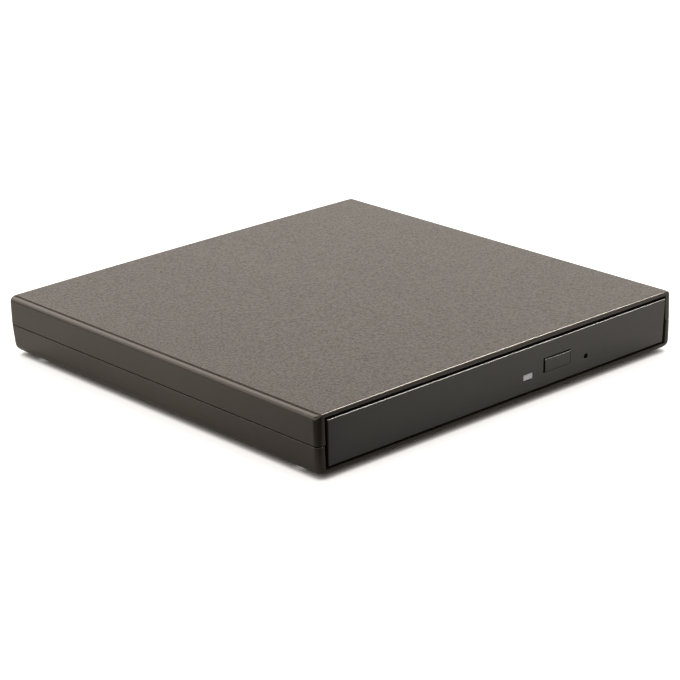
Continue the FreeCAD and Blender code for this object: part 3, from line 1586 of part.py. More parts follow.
def main():
    os.makedirs("parts", exist_ok=True)
    write("top_cover", make_top_cover())
    write("bottom_cover", make_bottom_cover())
    write("rubber_feet", make_rubber_feet())
    write("case_screws", make_case_screws())
    write("drive_chassis", make_drive_chassis())
    write("drive_top_plate", make_drive_top_plate())
    write("top_plate_screws", make_top_plate_screws())
    write("drive_mount_screws", make_drive_mount_screws())
    write("right_rail_guide", make_right_rail_guide())
    write("left_rail_guide", mirrored(make_right_rail_guide()))
    write("right_rail", make_right_rail())
    write("left_rail", mirrored(make_right_rail()))
    write("latch_post", make_latch_post())
    write("rear_board", make_rear_board())
    write("sata_plug", make_sata_plug())
    write("bridge_board", make_bridge_board())
    write("sata_socket", make_sata_socket())
    write("bridge_chips", make_bridge_chips())
    write("bridge_screws", make_bridge_screws())
    write("usb_socket", make_usb_socket())
    write("usb_tongue", make_usb_tongue())
    write("tray_cable", make_tray_cable())
    write("tray", make_tray())
    write("bezel", make_bezel())
    write("led_window", make_led_window())
    write("status_led", make_status_led())
    write("front_board", make_front_board())
    write("eject_switch", make_eject_switch())
    write("tray_board", make_tray_board())
    write("tray_board_chips", make_tray_board_chips())
    write("tray_cable_plug", make_tray_cable_plug())
    write("traverse_plate", make_traverse_plate())
    write("traverse_dampers", make_traverse_dampers())
    write("traverse_screws", make_traverse_screws())
    write("guide_rods", make_guide_rods())
    write("feed_motor", make_feed_motor())
    write("spindle_stator", make_spindle_stator())
    write("spindle_bearing", make_spindle_bearing())
    write("mechanism_cover", make_mechanism_cover())
    write("cover_screws", make_cover_screws())
    write("latch_pivot_pin", make_latch_pivot_pin())
    write("latch_yoke", make_latch_yoke())
    write("latch_coil", make_latch_coil())
    write("ejector_plunger", make_ejector_plunger())
    write("ejector_spring", make_ejector_spring())
    write("eject_button", make_eject_button())
    write("switch_plunger", make_switch_plunger())
    write("turntable", make_turntable())
    write("turntable_ring", make_turntable_ring())
    write("spindle_shaft", make_spindle_shaft())
    for number, angle in enumerate(jaw_angles, 1):
        write("clamp_jaw_%d" % number, make_clamp_jaw(angle))
    write("pickup", make_pickup())
    write("pickup_follower", make_pickup_follower())
    write("lens_holder", make_lens_holder())
    write("objective_lens", make_objective_lens())
    write("lead_screw", make_lead_screw())
    write("latch_lever", make_latch_lever())
    write("release_slider", make_release_slider())


main()
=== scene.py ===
import json
import math

import bmesh
import bpy
from mathutils import Matrix, Vector


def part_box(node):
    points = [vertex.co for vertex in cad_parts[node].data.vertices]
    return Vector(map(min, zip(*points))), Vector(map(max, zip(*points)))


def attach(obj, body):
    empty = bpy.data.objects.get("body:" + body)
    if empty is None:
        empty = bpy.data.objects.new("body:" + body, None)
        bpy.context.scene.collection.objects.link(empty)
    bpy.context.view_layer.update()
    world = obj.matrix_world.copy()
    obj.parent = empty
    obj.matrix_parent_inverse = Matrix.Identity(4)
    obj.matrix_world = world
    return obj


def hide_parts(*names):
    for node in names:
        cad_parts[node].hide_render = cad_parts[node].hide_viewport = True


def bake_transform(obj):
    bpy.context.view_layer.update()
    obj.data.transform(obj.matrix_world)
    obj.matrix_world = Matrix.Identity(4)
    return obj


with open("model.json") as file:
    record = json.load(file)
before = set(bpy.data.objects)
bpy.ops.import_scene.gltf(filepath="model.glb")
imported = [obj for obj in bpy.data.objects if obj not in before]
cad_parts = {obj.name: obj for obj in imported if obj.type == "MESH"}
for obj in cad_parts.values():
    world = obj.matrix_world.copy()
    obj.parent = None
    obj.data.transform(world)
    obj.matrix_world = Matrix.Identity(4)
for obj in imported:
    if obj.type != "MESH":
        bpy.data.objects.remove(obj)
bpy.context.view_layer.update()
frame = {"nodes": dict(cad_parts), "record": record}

# The look of an external DVD drive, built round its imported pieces. Shapes are worked out in
# millimetres and scaled to metres when a piece is made.
MM = 0.001


def corners(node):
    low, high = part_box(node)
    return low / MM, high / MM


# The case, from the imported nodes
cover_low, cover_high = corners("top_cover")
base_low, base_high = corners("bottom_cover")
chassis_low, chassis_high = corners("drive_chassis")
plate_high = corners("drive_top_plate")[1]
bezel_low, bezel_high = corners("bezel")
case_half = cover_high.x
front = cover_low.y
back = cover_high.y
top = cover_high.z
base = base_low.z
seam_high = cover_low.z
tongue_high = base_high.z

# The case's own sizes
case_wall = 2.0
case_floor = 1.6
case_roof = 1.5
crown_rise = 0.3
corner_radius = 1.9
corner_shrink = 0.2
roof_edge_radius = 2.1
roof_front_radius = 0.5
side_taper = 0.25
front_taper = 0.15
back_taper = 1.0
side_edge_radius = 2.7
end_edge_radius = 1.6
seam_groove = 0.3
front_seam_step = 0.4
rebate_depth = 1.0
tongue_thickness = 0.9
tongue_clearance = 0.1
tongue_root = 0.6
tongue_front_gap = 0.4
cavity_corner = 0.8
rib_half = 0.6
rib_inset = 4.0
rib_spread = 48.0
seam_edge = 0.12

# How far a cut reaches past a face, and a joined piece into its neighbour
overrun = 1.0
sink = 0.2

# How finely the round stretches are divided
corner_steps = 10
roof_steps = 8
roof_columns = 33
foot_degrees = (0, 15, 30, 45, 60, 75, 90)
post_sides = 40
hole_sides = 28
edge_steps = 2
front_edge_steps = 4

# How near two points count as one, and the angles past which an edge is rounded, creased or kept
merge_distance = 0.001
roof_merge_distance = 0.0005
sharp_degrees = 30.0
crease_degrees = 50.0
flat_degrees = 1.0

# The steps that a shape is built with
cut = "DIFFERENCE"
join = "UNION"

# Posts, screws, feet and the cord's socket
screw_shank = 0.95
screw_head_radius = 1.9
screw_clearance = 0.2
screw_recess_depth = 1.2
case_screw_bite = 5.0
mount_screw_bite = 2.6
blind_room = 0.4
post_radius = 2.7
ear_post_radius = 2.5
bridge_post_radius = 2.1
foot_radius = 4.0
foot_recess = 0.5
socket_room = 0.3
socket_reach = 6.0

# The bezel, the button and the release hole
bezel_side_gap = 0.6
bezel_sill_gap = 0.65
sill_tolerance = 0.2
bezel_draft = 0.45
bezel_wall = 1.8
bezel_cut_ahead = 3.0
bezel_flange = 1.2
bezel_foot_setback = 0.2
bezel_edge = 0.3
bezel_hole_edge = 0.1
window_gap = 0.12
button_half = 5.35
button_height = 4.0
button_proud = 0.25
button_side_gap = 0.3
button_left_gap = 0.6
button_top_gap = 0.42
button_low_gap = 0.18
button_edge = 0.22
button_flange_side = 0.7
button_flange_sheet = 0.7
button_flange_back = 2.1
button_tail_half = 1.5
button_tail_rise = 0.5
button_tail_height = 1.9
pin_hole_radius = 0.85
pin_hole_over_slider = 1.0

# The flat cable under the tray
cable_thickness = 0.15
cable_extra_run = 3.5
cable_fold_steps = 24
cable_run_steps = 60

# Heights and faces that follow
seam_low = seam_high - seam_groove
seam = seam_high - seam_groove / 2
ceiling = top - case_roof
floor_top = base + case_floor
cavity_half = case_half - case_wall
opening_half = bezel_high.x + bezel_side_gap
sill = bezel_low.z - bezel_sill_gap
rib_front = chassis_low.y + rib_inset
rib_back = chassis_high.y - rib_inset


def box_shape(x0, x1, y0, y1, z0, z1):
    shape = bmesh.new()
    bmesh.ops.create_cube(shape, size=1.0)
    middle = Vector(((x0 + x1) / 2, (y0 + y1) / 2, (z0 + z1) / 2))
    bmesh.ops.scale(shape, vec=(abs(x1 - x0), abs(y1 - y0), abs(z1 - z0)), verts=shape.verts)
    bmesh.ops.translate(shape, vec=middle, verts=shape.verts)
    return shape


def circle(across, along, radius, sides):
    angles = [math.tau * i / sides for i in range(sides)]
    return [(across + radius * math.cos(angle), along + radius * math.sin(angle)) for angle in angles]


def post_shape(x, y, radius, z0, z1):
    ring = circle(x, y, radius, post_sides)
    return stacked([[(px, py, z) for px, py in ring] for z in (z0, z1)])


def lying_shape(x, z, radius, y0, y1):
    ring = circle(x, z, radius, hole_sides)
    return stacked([[(px, y, pz) for px, pz in ring] for y in (y0, y1)])


def make_walls(shape, rows):
    """The faces between neighbouring closed rows of equally many vertices."""
    count = len(rows[0])
    for lower, upper in zip(rows, rows[1:]):
        for i in range(count):
            j = (i + 1) % count
            shape.faces.new((lower[i], lower[j], upper[j], upper[i]))


def stacked(rings):
    """A closed solid through rings of equally many points, capped at its first and last ring."""
    shape = bmesh.new()
    rows = [[shape.verts.new(point) for point in ring] for ring in rings]
    make_walls(shape, rows)
    shape.faces.new(list(reversed(rows[0])))
    shape.faces.new(rows[-1])
    bmesh.ops.recalc_face_normals(shape, faces=shape.faces)
    return shape


def corner_arc(x, y, radius, start_degrees):
    """A quarter round about a middle, anticlockwise from its start."""
    angles = [math.radians(start_degrees + 90 * step / corner_steps) for step in range(corner_steps + 1)]
    return [(x + radius * math.cos(angle), y + radius * math.sin(angle)) for angle in angles]


def rounded_outline(half, y0, y1, radius, z):
    """A rectangle with round corners, anticlockwise from the right side's back end."""
    right = half - radius
    near = y0 + radius
    far = y1 - radius
    points = corner_arc(right, far, radius, 0) + corner_arc(-right, far, radius, 90)
    points += corner_arc(-right, near, radius, 180) + corner_arc(right, near, radius, 270)
    return [(x, y, z) for x, y in points]


def as_mesh(shape, name):
    mesh = bpy.data.meshes.new(name)
    shape.to_mesh(mesh)
    shape.free()
    return mesh


def combined(shape, steps):
    """The shape after a list of steps, each an operation and the shape that it cuts or joins."""
    body = bpy.data.objects.new("work", as_mesh(shape, "work"))
    bpy.context.scene.collection.objects.link(body)
    tools = []
    for operation, tool in steps:
        other = bpy.data.objects.new("tool", as_mesh(tool, "tool"))
        bpy.context.scene.collection.objects.link(other)
        tools.append(other)
        modifier = body.modifiers.new(operation, "BOOLEAN")
        modifier.operation = operation
        modifier.solver = "EXACT"
        modifier.object = other
    graph = bpy.context.evaluated_depsgraph_get()
    result = bmesh.new()
    result.from_object(body, graph)
    for scrap in [body] + tools:
        mesh = scrap.data
        bpy.data.objects.remove(scrap)
        bpy.data.meshes.remove(mesh)
    bmesh.ops.remove_doubles(result, verts=result.verts, dist=merge_distance)
    bmesh.ops.dissolve_degenerate(result, edges=result.edges, dist=merge_distance)
    bmesh.ops.connect_verts_concave(result, faces=result.faces)
    return result


def sharp_edges(shape, least_degrees=sharp_degrees):
    limit = math.radians(least_degrees)
    return [edge for edge in shape.edges
            if len(edge.link_faces) == 2 and edge.calc_face_angle(0.0) > limit]


def round_edges(shape, edges, width, segments=edge_steps):
    if edges:
        bmesh.ops.bevel(shape, geom=edges, offset=width, offset_type="OFFSET", segments=segments,
                        profile=0.5, affect="EDGES", clamp_overlap=False)


body_of = {node: body for body, nodes in frame["record"]["behaviour"]["bodies"].items() for node in nodes}
slot_of = {part["node"]: part["material_slot"] for part in frame["record"]["subparts"]}


def finished(shape, node, smooth=True, rides=True):
    """Makes the piece that stands for a node: smooth, with its weighted normals, finish and body."""
    bmesh.ops.scale(shape, vec=(MM, MM, MM), verts=shape.verts)
    for edge in sharp_edges(shape, crease_degrees):
        edge.smooth = False
    for face in shape.faces:
        face.smooth = smooth
    name = node + "_finished"
    piece = bpy.data.objects.new(name, as_mesh(shape, name))
    bpy.context.scene.collection.objects.link(piece)
    normals = piece.modifiers.new("normals", "WEIGHTED_NORMAL")
    normals.keep_sharp = True
    piece.data.materials.append(finishes[slot_of[node]])
    if rides:
        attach(piece, body_of[node])
    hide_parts(node)
    return piece


def make_dressed(node, width):
    """A node's own form with its flat faces made whole and its edges rounded."""
    shape = bmesh.new()
    shape.from_mesh(frame["nodes"][node].data)
    bmesh.ops.remove_doubles(shape, verts=shape.verts, dist=merge_distance * MM)
    bmesh.ops.dissolve_limit(shape, angle_limit=math.radians(flat_degrees), verts=shape.verts,
                             edges=shape.edges, delimit=set())
    bmesh.ops.scale(shape, vec=(1 / MM, 1 / MM, 1 / MM), verts=shape.verts)
    round_edges(shape, sharp_edges(shape), width)
    finished(shape, node)


# Camera: the photograph's place and lens
camera_lens = 128.58
camera_sensor = 36.0
camera_yaw_radians = 0.7120731
camera_pitch_radians = 0.3486347
camera_roll_radians = -0.0353762
camera_near = 10.0
camera_distance = 762.4
camera_right_shift = 0.55
camera_up_shift = 3.70612
camera_y_shift = 0.25


def make_camera():
    yaw = camera_yaw_radians
    pitch = camera_pitch_radians
    roll = camera_roll_radians
    ahead = Vector((math.sin(yaw) * math.cos(pitch), math.cos(yaw) * math.cos(pitch), -math.sin(pitch)))
    level = Vector((math.cos(yaw), -math.sin(yaw), 0.0))
    above = level.cross(ahead)
    right = math.cos(roll) * level + math.sin(roll) * above
    up = math.cos(roll) * above - math.sin(roll) * level
    place = (-camera_distance * ahead + camera_right_shift * right + camera_up_shift * up
             + Vector((0.0, camera_y_shift, 0.0)))
    data = bpy.data.cameras.new("camera")
    data.lens = camera_lens
    data.sensor_width = camera_sensor
    data.clip_start = camera_near * MM
    camera = bpy.data.objects.new("camera", data)
    turn = Matrix((right, up, -ahead)).transposed().to_4x4()
    camera.matrix_world = Matrix.Translation(place * MM) @ turn
    bpy.context.scene.collection.objects.link(camera)
    bpy.context.scene.camera = camera


# Light: a warm white room with a dark gap between its backdrop and its ceiling, one large soft lamp
# behind the object for its matt light and shadow, and two narrower ones for the gloss alone.
# The room's brightness is given at heights above the horizon, as a share of the way straight up.
room_tint = (1.0, 0.93, 0.86)
room_full = 1.8
room_stops = ((0.0, 0.4), (0.18, 0.7), (0.28, 1.8), (0.40, 1.8), (0.46, 0.1), (0.66, 0.1), (0.8, 0.9),
              (1.0, 0.9))
fill_level = 0.6
key_level = 0.45
key_width_degrees = 60.0
key_azimuth_degrees = 46.0
key_height_degrees = 50.0
right_level = 0.75
right_width_degrees = 16.0
right_azimuth_degrees = -5.0
right_height_degrees = 50.0
left_level = 0.22
left_width_degrees = 34.0
left_azimuth_degrees = 108.0
left_height_degrees = 41.0


def make_lamp(name, azimuth_degrees, height_degrees, width_degrees, level):
    lamp = bpy.data.lights.new(name, "SUN")
    lamp.energy = math.pi * level
    lamp.color = room_tint
    lamp.angle = math.radians(width_degrees)
    holder = bpy.data.objects.new(name, lamp)
    azimuth = math.radians(azimuth_degrees)
    height = math.radians(height_degrees)
    towards = Vector((math.cos(azimuth) * math.cos(height), math.sin(azimuth) * math.cos(height),
                      math.sin(height)))
    holder.rotation_euler = towards.to_track_quat("Z", "Y").to_euler()
    bpy.context.scene.collection.objects.link(holder)
    return holder


def make_light():
    world = bpy.data.worlds.new("studio")
    bpy.context.scene.world = world
    world.use_nodes = True
    tree = world.node_tree
    background = tree.nodes["Background"]
    path = tree.nodes.new("ShaderNodeLightPath")
    seen = path.outputs["Is Camera Ray"]
    tree.links.new(mixed(tree, seen, room_tint, white), background.inputs["Color"])
    coords = tree.nodes.new("ShaderNodeTexCoord")
    parts = tree.nodes.new("ShaderNodeSeparateXYZ")
    tree.links.new(coords.outputs["Generated"], parts.inputs["Vector"])
    gloss = math_node(tree, "MAXIMUM", path.outputs["Is Glossy Ray"], path.outputs["Is Transmission Ray"])
    room = math_node(tree, "MULTIPLY", ramp(tree, parts.outputs["Z"], room_stops, room_full), room_full)
    lit = blended(tree, gloss, fill_level, room)
    tree.links.new(blended(tree, seen, lit, 1.0), background.inputs["Strength"])

    key = make_lamp("key_lamp", key_azimuth_degrees, key_height_degrees, key_width_degrees, key_level)
    key.visible_glossy = False
    right = make_lamp("right_gloss_lamp", right_azimuth_degrees, right_height_degrees,
                      right_width_degrees, right_level)
    right.visible_diffuse = False
    left = make_lamp("left_gloss_lamp", left_azimuth_degrees, left_height_degrees, left_width_degrees,
                     left_level)
    left.visible_diffuse = False


# Floor: its sizes in millimetres, and a painted shade that darkens the light it throws back from the lit
# side to the other
floor_half = 2500.0
floor_bounce = 0.72
floor_shade_stops = ((0.0, 0.72), (0.4, 0.68), (0.75, 0.5), (0.92, 0.06))
floor_shade_start = -10.0
floor_shade_end = 135.0
floor_shade_azimuth_degrees = 229.0
floor_lift = 0.6
shadow_reach = 2.0
shadow_samples = 8
lift_start = 0.5
lift_end = 0.95


def make_floor():
    """A white floor that keeps the shadow: the lift towards white fades out where it is covered.
    What it throws back at the object is painted darker towards the front left, as painted shade."""
    shape = bmesh.new()
    bmesh.ops.create_grid(shape, x_segments=1, y_segments=1, size=floor_half * MM)
    floor = bpy.data.objects.new("floor", as_mesh(shape, "floor"))
    bpy.context.scene.collection.objects.link(floor)
    tree, shader = start_material("floor", Roughness=0.9)
    shader.inputs["Specular IOR Level"].default_value = 0.0
    path = tree.nodes.new("ShaderNodeLightPath")
    seen = path.outputs["Is Camera Ray"]
    coords = tree.nodes.new("ShaderNodeTexCoord")
    turn = tree.nodes.new("ShaderNodeMapping")
    turn.inputs["Rotation"].default_value = (0.0, 0.0, -math.radians(floor_shade_azimuth_degrees))
    parts = tree.nodes.new("ShaderNodeSeparateXYZ")
    tree.links.new(coords.outputs["Object"], turn.inputs["Vector"])
    tree.links.new(turn.outputs["Vector"], parts.inputs["Vector"])
    # Painted shade: the floor's colour, as the object sees it, darkens towards the front left.
    fade = ranged(tree, parts.outputs["X"], 0.0, 1.0, start=floor_shade_start * MM,
                  end=floor_shade_end * MM)
    bounce = math_node(tree, "MULTIPLY", ramp(tree, fade, floor_shade_stops, floor_bounce), floor_bounce)
    tree.links.new(blended(tree, seen, bounce, 1.0), shader.inputs["Base Color"])
    cover = tree.nodes.new("ShaderNodeAmbientOcclusion")
    cover.samples = shadow_samples
    cover.inputs["Distance"].default_value = shadow_reach * MM
    lift = ranged(tree, cover.outputs["AO"], 0.0, floor_lift, start=lift_start, end=lift_end)
    shader.inputs["Emission Color"].default_value = (1.0, 1.0, 1.0, 1.0)
    tree.links.new(math_node(tree, "MULTIPLY", lift, seen), shader.inputs["Emission Strength"])
    floor.data.materials.append(finishes["floor"])


# Material nodes. A mix node's colour sockets share their names with its others, so they go by place.
mix_first_colour = 6
mix_second_colour = 7
mix_colour_result = 2
white = (1.0, 1.0, 1.0)
even = (1.0, 1.0, 1.0)
noise_low = 0.3
noise_high = 0.7
finishes = {}


def start_material(name, **values):
    material = bpy.data.materials.new(name + "_finish")
    finishes[name] = material
    material.use_nodes = True
    shader = material.node_tree.nodes["Principled BSDF"]
    for socket, value in values.items():
        shader.inputs[socket].default_value = value
    return material.node_tree, shader


def feed(tree, socket, value):
    """Links a socket to another node's output, or sets it to a number or an opaque colour."""
    if isinstance(value, bpy.types.NodeSocket):
        tree.links.new(value, socket)
    elif isinstance(value, tuple):
        socket.default_value = (*value, 1.0)
    else:
        socket.default_value = value


def noise(tree, size, detail=2.0, roughness=0.5, stretch=even):
    """Noise of a given grain size in millimetres, drawn out along any axis with a larger stretch."""
    coords = tree.nodes.new("ShaderNodeTexCoord")
    mapping = tree.nodes.new("ShaderNodeMapping")
    mapping.inputs["Scale"].default_value = [1.0 / (size * MM * part) for part in stretch]
    texture = tree.nodes.new("ShaderNodeTexNoise")
    texture.inputs["Scale"].default_value = 1.0
    texture.inputs["Detail"].default_value = detail
    texture.inputs["Roughness"].default_value = roughness
    tree.links.new(coords.outputs["Object"], mapping.inputs["Vector"])
    tree.links.new(mapping.outputs["Vector"], texture.inputs["Vector"])
    return texture.outputs["Fac"]


def ranged(tree, value, low, high, start=noise_low, end=noise_high):
    """The low figure where the value is at its start, the high one where it is at its end."""
    node = tree.nodes.new("ShaderNodeMapRange")
    node.inputs["From Min"].default_value = start
    node.inputs["From Max"].default_value = end
    node.inputs["To Min"].default_value = low
    node.inputs["To Max"].default_value = high
    tree.links.new(value, node.inputs["Value"])
    return node.outputs["Result"]


def ramp(tree, value, stops, full):
    """A colour ramp through (place, level) stops, each level as a share of the full one."""
    node = tree.nodes.new("ShaderNodeValToRGB")
    elements = node.color_ramp.elements
    while len(elements) < len(stops):
        elements.new(0.5)
    for element, (place, level) in zip(elements, stops):
        element.position = place
        element.color = (level / full, level / full, level / full, 1.0)
    tree.links.new(value, node.inputs["Fac"])
    return node.outputs["Color"]


def math_node(tree, operation, first, second):
    node = tree.nodes.new("ShaderNodeMath")
    node.operation = operation
    for socket, value in zip(node.inputs, (first, second)):
        feed(tree, socket, value)
    return node.outputs["Value"]


def blended(tree, factor, first, second):
    """The first value where the factor is 0, the second where it is 1."""
    node = tree.nodes.new("ShaderNodeMix")
    tree.links.new(factor, node.inputs["Factor"])
    feed(tree, node.inputs["A"], first)
    feed(tree, node.inputs["B"], second)
    return node.outputs["Result"]


def mixed(tree, factor, first, second):
    """The first colour where the factor is 0, the second where it is 1."""
    node = tree.nodes.new("ShaderNodeMix")
    node.data_type = "RGBA"
    tree.links.new(factor, node.inputs["Factor"])
    feed(tree, node.inputs[mix_first_colour], first)
    feed(tree, node.inputs[mix_second_colour], second)
    return node.outputs[mix_colour_result]


def bump(tree, shader, height, depth):
    """Relief of a given depth in millimetres."""
    node = tree.nodes.new("ShaderNodeBump")
    node.inputs["Strength"].default_value = 1.0
    node.inputs["Distance"].default_value = depth * MM
    tree.links.new(height, node.inputs["Height"])
    tree.links.new(node.outputs["Normal"], shader.inputs["Normal"])
    return node


def shaded(colour, share):
    return tuple(part * share for part in colour)


# The finishes, with their sizes in millimetres
patch_size = 14.0
patch_detail = 3.0
grain_roughness = 0.6
speck_start = 0.35
speck_end = 0.65

# Where the case's grain starts and is full, by the upward share of a face's direction, and where the
# painted shade on its front starts and is full, by the backward share
grain_starts = 0.9985
grain_full = 0.9996
front_shade_full = -0.95
front_shade_starts = -0.6


def grained_case(slot, colour, front_shade, tint, gloss, roughness, top_roughness, grain, depth, contrast):
    """Smooth satin walls and round edges, a front darkened with painted shade, and a fine leathery grain
    on the flat top alone."""
    tree, shader = start_material(slot)
    coords = tree.nodes.new("ShaderNodeTexCoord")
    parts = tree.nodes.new("ShaderNodeSeparateXYZ")
    tree.links.new(coords.outputs["Normal"], parts.inputs["Vector"])
    roof = ranged(tree, parts.outputs["Z"], 0.0, 1.0, start=grain_starts, end=grain_full)
    face = ranged(tree, parts.outputs["Y"], 1.0, 0.0, start=front_shade_full, end=front_shade_starts)
    patches = noise(tree, patch_size, detail=patch_detail)
    fine = noise(tree, grain, roughness=grain_roughness)
    speck = ranged(tree, fine, 1 - contrast, 1 + contrast, start=speck_start, end=speck_end)
    mottled = mixed(tree, ranged(tree, patches, 0.0, 1.0), shaded(colour, 0.9), shaded(colour, 1.1))
    # Painted shade: faces that look forward take a darker copy of the case's colour.
    tree.links.new(mixed(tree, face, mottled, shaded(colour, front_shade)), shader.inputs["Base Color"])
    shader.inputs["Specular Tint"].default_value = (*tint, 1.0)
    tree.links.new(math_node(tree, "MULTIPLY", blended(tree, roof, 1.0, speck), gloss),
                   shader.inputs["Specular IOR Level"])
    tree.links.new(blended(tree, roof, roughness, top_roughness), shader.inputs["Roughness"])
    relief = bump(tree, shader, fine, depth)
    tree.links.new(roof, relief.inputs["Strength"])


def moulded_plastic(slot, colour, roughness, grain, depth, gloss=0.5):
    """A textured moulding: its grain in relief, in its gloss and faintly in its colour, with some mottle."""
    sparkle = 0.03
    mottle = 0.12
    tree, shader = start_material(slot)
    patches = noise(tree, patch_size, detail=patch_detail)
    fine = noise(tree, grain, roughness=grain_roughness)
    base_colour = mixed(tree, ranged(tree, patches, 0.0, 1.0), shaded(colour, 1 - mottle / 2),
                        shaded(colour, 1 + mottle / 2))
    shader.inputs["Specular IOR Level"].default_value = gloss
    grained = mixed(tree, ranged(tree, fine, 0.0, 1.0), shaded(colour, 1 - mottle), base_colour)
    tree.links.new(grained, shader.inputs["Base Color"])
    tree.links.new(ranged(tree, fine, roughness - sparkle, roughness + sparkle), shader.inputs["Roughness"])
    bump(tree, shader, fine, depth)


def worked_metal(slot, colour, roughness, grain=0.12, stretch=(1.0, 14.0, 1.0), depth=0.004):
    """Bare metal with cloudy stains and rolling or grinding marks, which an even stretch leaves short."""
    cloud_size = 9.0
    smoother = 0.07
    rougher = 0.09
    stain = shaded(colour, 0.86)
    tree, shader = start_material(slot, Metallic=1.0)
    marks = noise(tree, grain, stretch=stretch)
    clouds = noise(tree, cloud_size, detail=4.0)
    tree.links.new(mixed(tree, ranged(tree, clouds, 0.0, 1.0), stain, colour), shader.inputs["Base Color"])
    tree.links.new(ranged(tree, marks, roughness - smoother, roughness + rougher),
                   shader.inputs["Roughness"])
    bump(tree, shader, marks, depth)


def circuit_board(slot, colour):
    """Green lacquer over copper tracks, with the tracks a little raised and lighter."""
    track_pitch = 2.2
    track_height = 0.02
    tree, shader = start_material(slot, Roughness=0.35)
    coords = tree.nodes.new("ShaderNodeTexCoord")
    cells = tree.nodes.new("ShaderNodeTexVoronoi")
    cells.feature = "DISTANCE_TO_EDGE"
    cells.inputs["Scale"].default_value = 1 / (track_pitch * MM)
    cells.inputs["Randomness"].default_value = 0.55
    tree.links.new(coords.outputs["Object"], cells.inputs["Vector"])
    tracks = ranged(tree, cells.outputs["Distance"], 1.0, 0.0, start=0.08, end=0.12)
    tree.links.new(mixed(tree, tracks, colour, shaded(colour, 2.2)), shader.inputs["Base Color"])
    bump(tree, shader, tracks, track_height)


def wound_copper(slot, colour):
    """Enamelled wire in close turns round a lying coil, with painted shade in the grooves between the turns.
    The wave repeats at a third of its scale.
    """
    wire_scale = 0.5
    wire_height = 0.05
    tree, shader = start_material(slot, Metallic=1.0, Roughness=0.32)
    coords = tree.nodes.new("ShaderNodeTexCoord")
    turns = tree.nodes.new("ShaderNodeTexWave")
    turns.bands_direction = "Y"
    turns.inputs["Scale"].default_value = 1 / (wire_scale * MM)
    turns.inputs["Distortion"].default_value = 0.15
    tree.links.new(coords.outputs["Object"], turns.inputs["Vector"])
    wire = turns.outputs["Fac"]
    # Painted shade: the dark bands between the turns.
    tree.links.new(mixed(tree, wire, shaded(colour, 0.35), colour), shader.inputs["Base Color"])
    bump(tree, shader, wire, wire_height)


def flat_cable(slot, colour, conductor):
    """Amber film with its conductors showing as stripes, which repeat at a third of their scale."""
    stripe_scale = 3.2
    stripe_height = 0.01
    tree, shader = start_material(slot, Roughness=0.3)
    coords = tree.nodes.new("ShaderNodeTexCoord")
    stripes = tree.nodes.new("ShaderNodeTexWave")
    stripes.bands_direction = "X"
    stripes.inputs["Scale"].default_value = 1 / (stripe_scale * MM)
    tree.links.new(coords.outputs["Object"], stripes.inputs["Vector"])
    lines = ranged(tree, stripes.outputs["Fac"], 0.0, 1.0, start=0.35, end=0.55)
    tree.links.new(mixed(tree, lines, colour, conductor), shader.inputs["Base Color"])
    bump(tree, shader, lines, stripe_height)


def clear_part(slot, colour, roughness, transmission):
    """A clear or milky moulding, with faint streaks inside it."""
    streak_size = 0.5
    streak_depth = 0.003
    tree, shader = start_material(slot, IOR=1.49)
    shader.inputs["Transmission Weight"].default_value = transmission
    streaks = noise(tree, streak_size)
    tree.links.new(mixed(tree, ranged(tree, streaks, 0.0, 1.0), shaded(colour, 0.9), colour),
                   shader.inputs["Base Color"])
    tree.links.new(ranged(tree, streaks, roughness * 0.8, roughness * 1.2), shader.inputs["Roughness"])
    bump(tree, shader, streaks, streak_depth)


def make_plastics():
    # The case's front is darkened with painted shade.
    grained_case("case_plastic", colour=(0.038, 0.0315, 0.0235), front_shade=0.4, tint=(1.0, 0.96, 0.90),
                 gloss=0.78, roughness=0.20, top_roughness=0.30, grain=0.7, depth=0.10, contrast=0.7)
    moulded_plastic("bezel_plastic", (0.0165, 0.0163, 0.0150), roughness=0.21, grain=0.3, depth=0.004,
                    gloss=0.95)
    moulded_plastic("tray_plastic", (0.022, 0.022, 0.023), roughness=0.42, grain=0.35, depth=0.012)
    moulded_plastic("foot_rubber", (0.018, 0.018, 0.018), roughness=0.75, grain=0.5, depth=0.02)
    moulded_plastic("guide_plastic", (0.55, 0.54, 0.50), roughness=0.40, grain=0.4, depth=0.006)
    moulded_plastic("connector_black", (0.02, 0.02, 0.022), roughness=0.35, grain=0.3, depth=0.006)
    moulded_plastic("connector_white", (0.62, 0.60, 0.54), roughness=0.38, grain=0.3, depth=0.006)
    moulded_plastic("chip_black", (0.024, 0.024, 0.027), roughness=0.5, grain=0.18, depth=0.008)
    moulded_plastic("cover_black", (0.020, 0.020, 0.021), roughness=0.45, grain=0.3, depth=0.010)
    moulded_plastic("jaw_plastic", (0.50, 0.49, 0.46), roughness=0.35, grain=0.3, depth=0.004)
    moulded_plastic("lens_black", (0.018, 0.018, 0.020), roughness=0.40, grain=0.2, depth=0.006)
    clear_part("window_plastic", (0.74, 0.78, 0.87), roughness=0.30, transmission=0.05)
    clear_part("led_lens", (0.75, 0.80, 0.78), roughness=0.20, transmission=0.6)
    clear_part("lens_glass", (0.85, 0.90, 1.0), roughness=0.03, transmission=1.0)


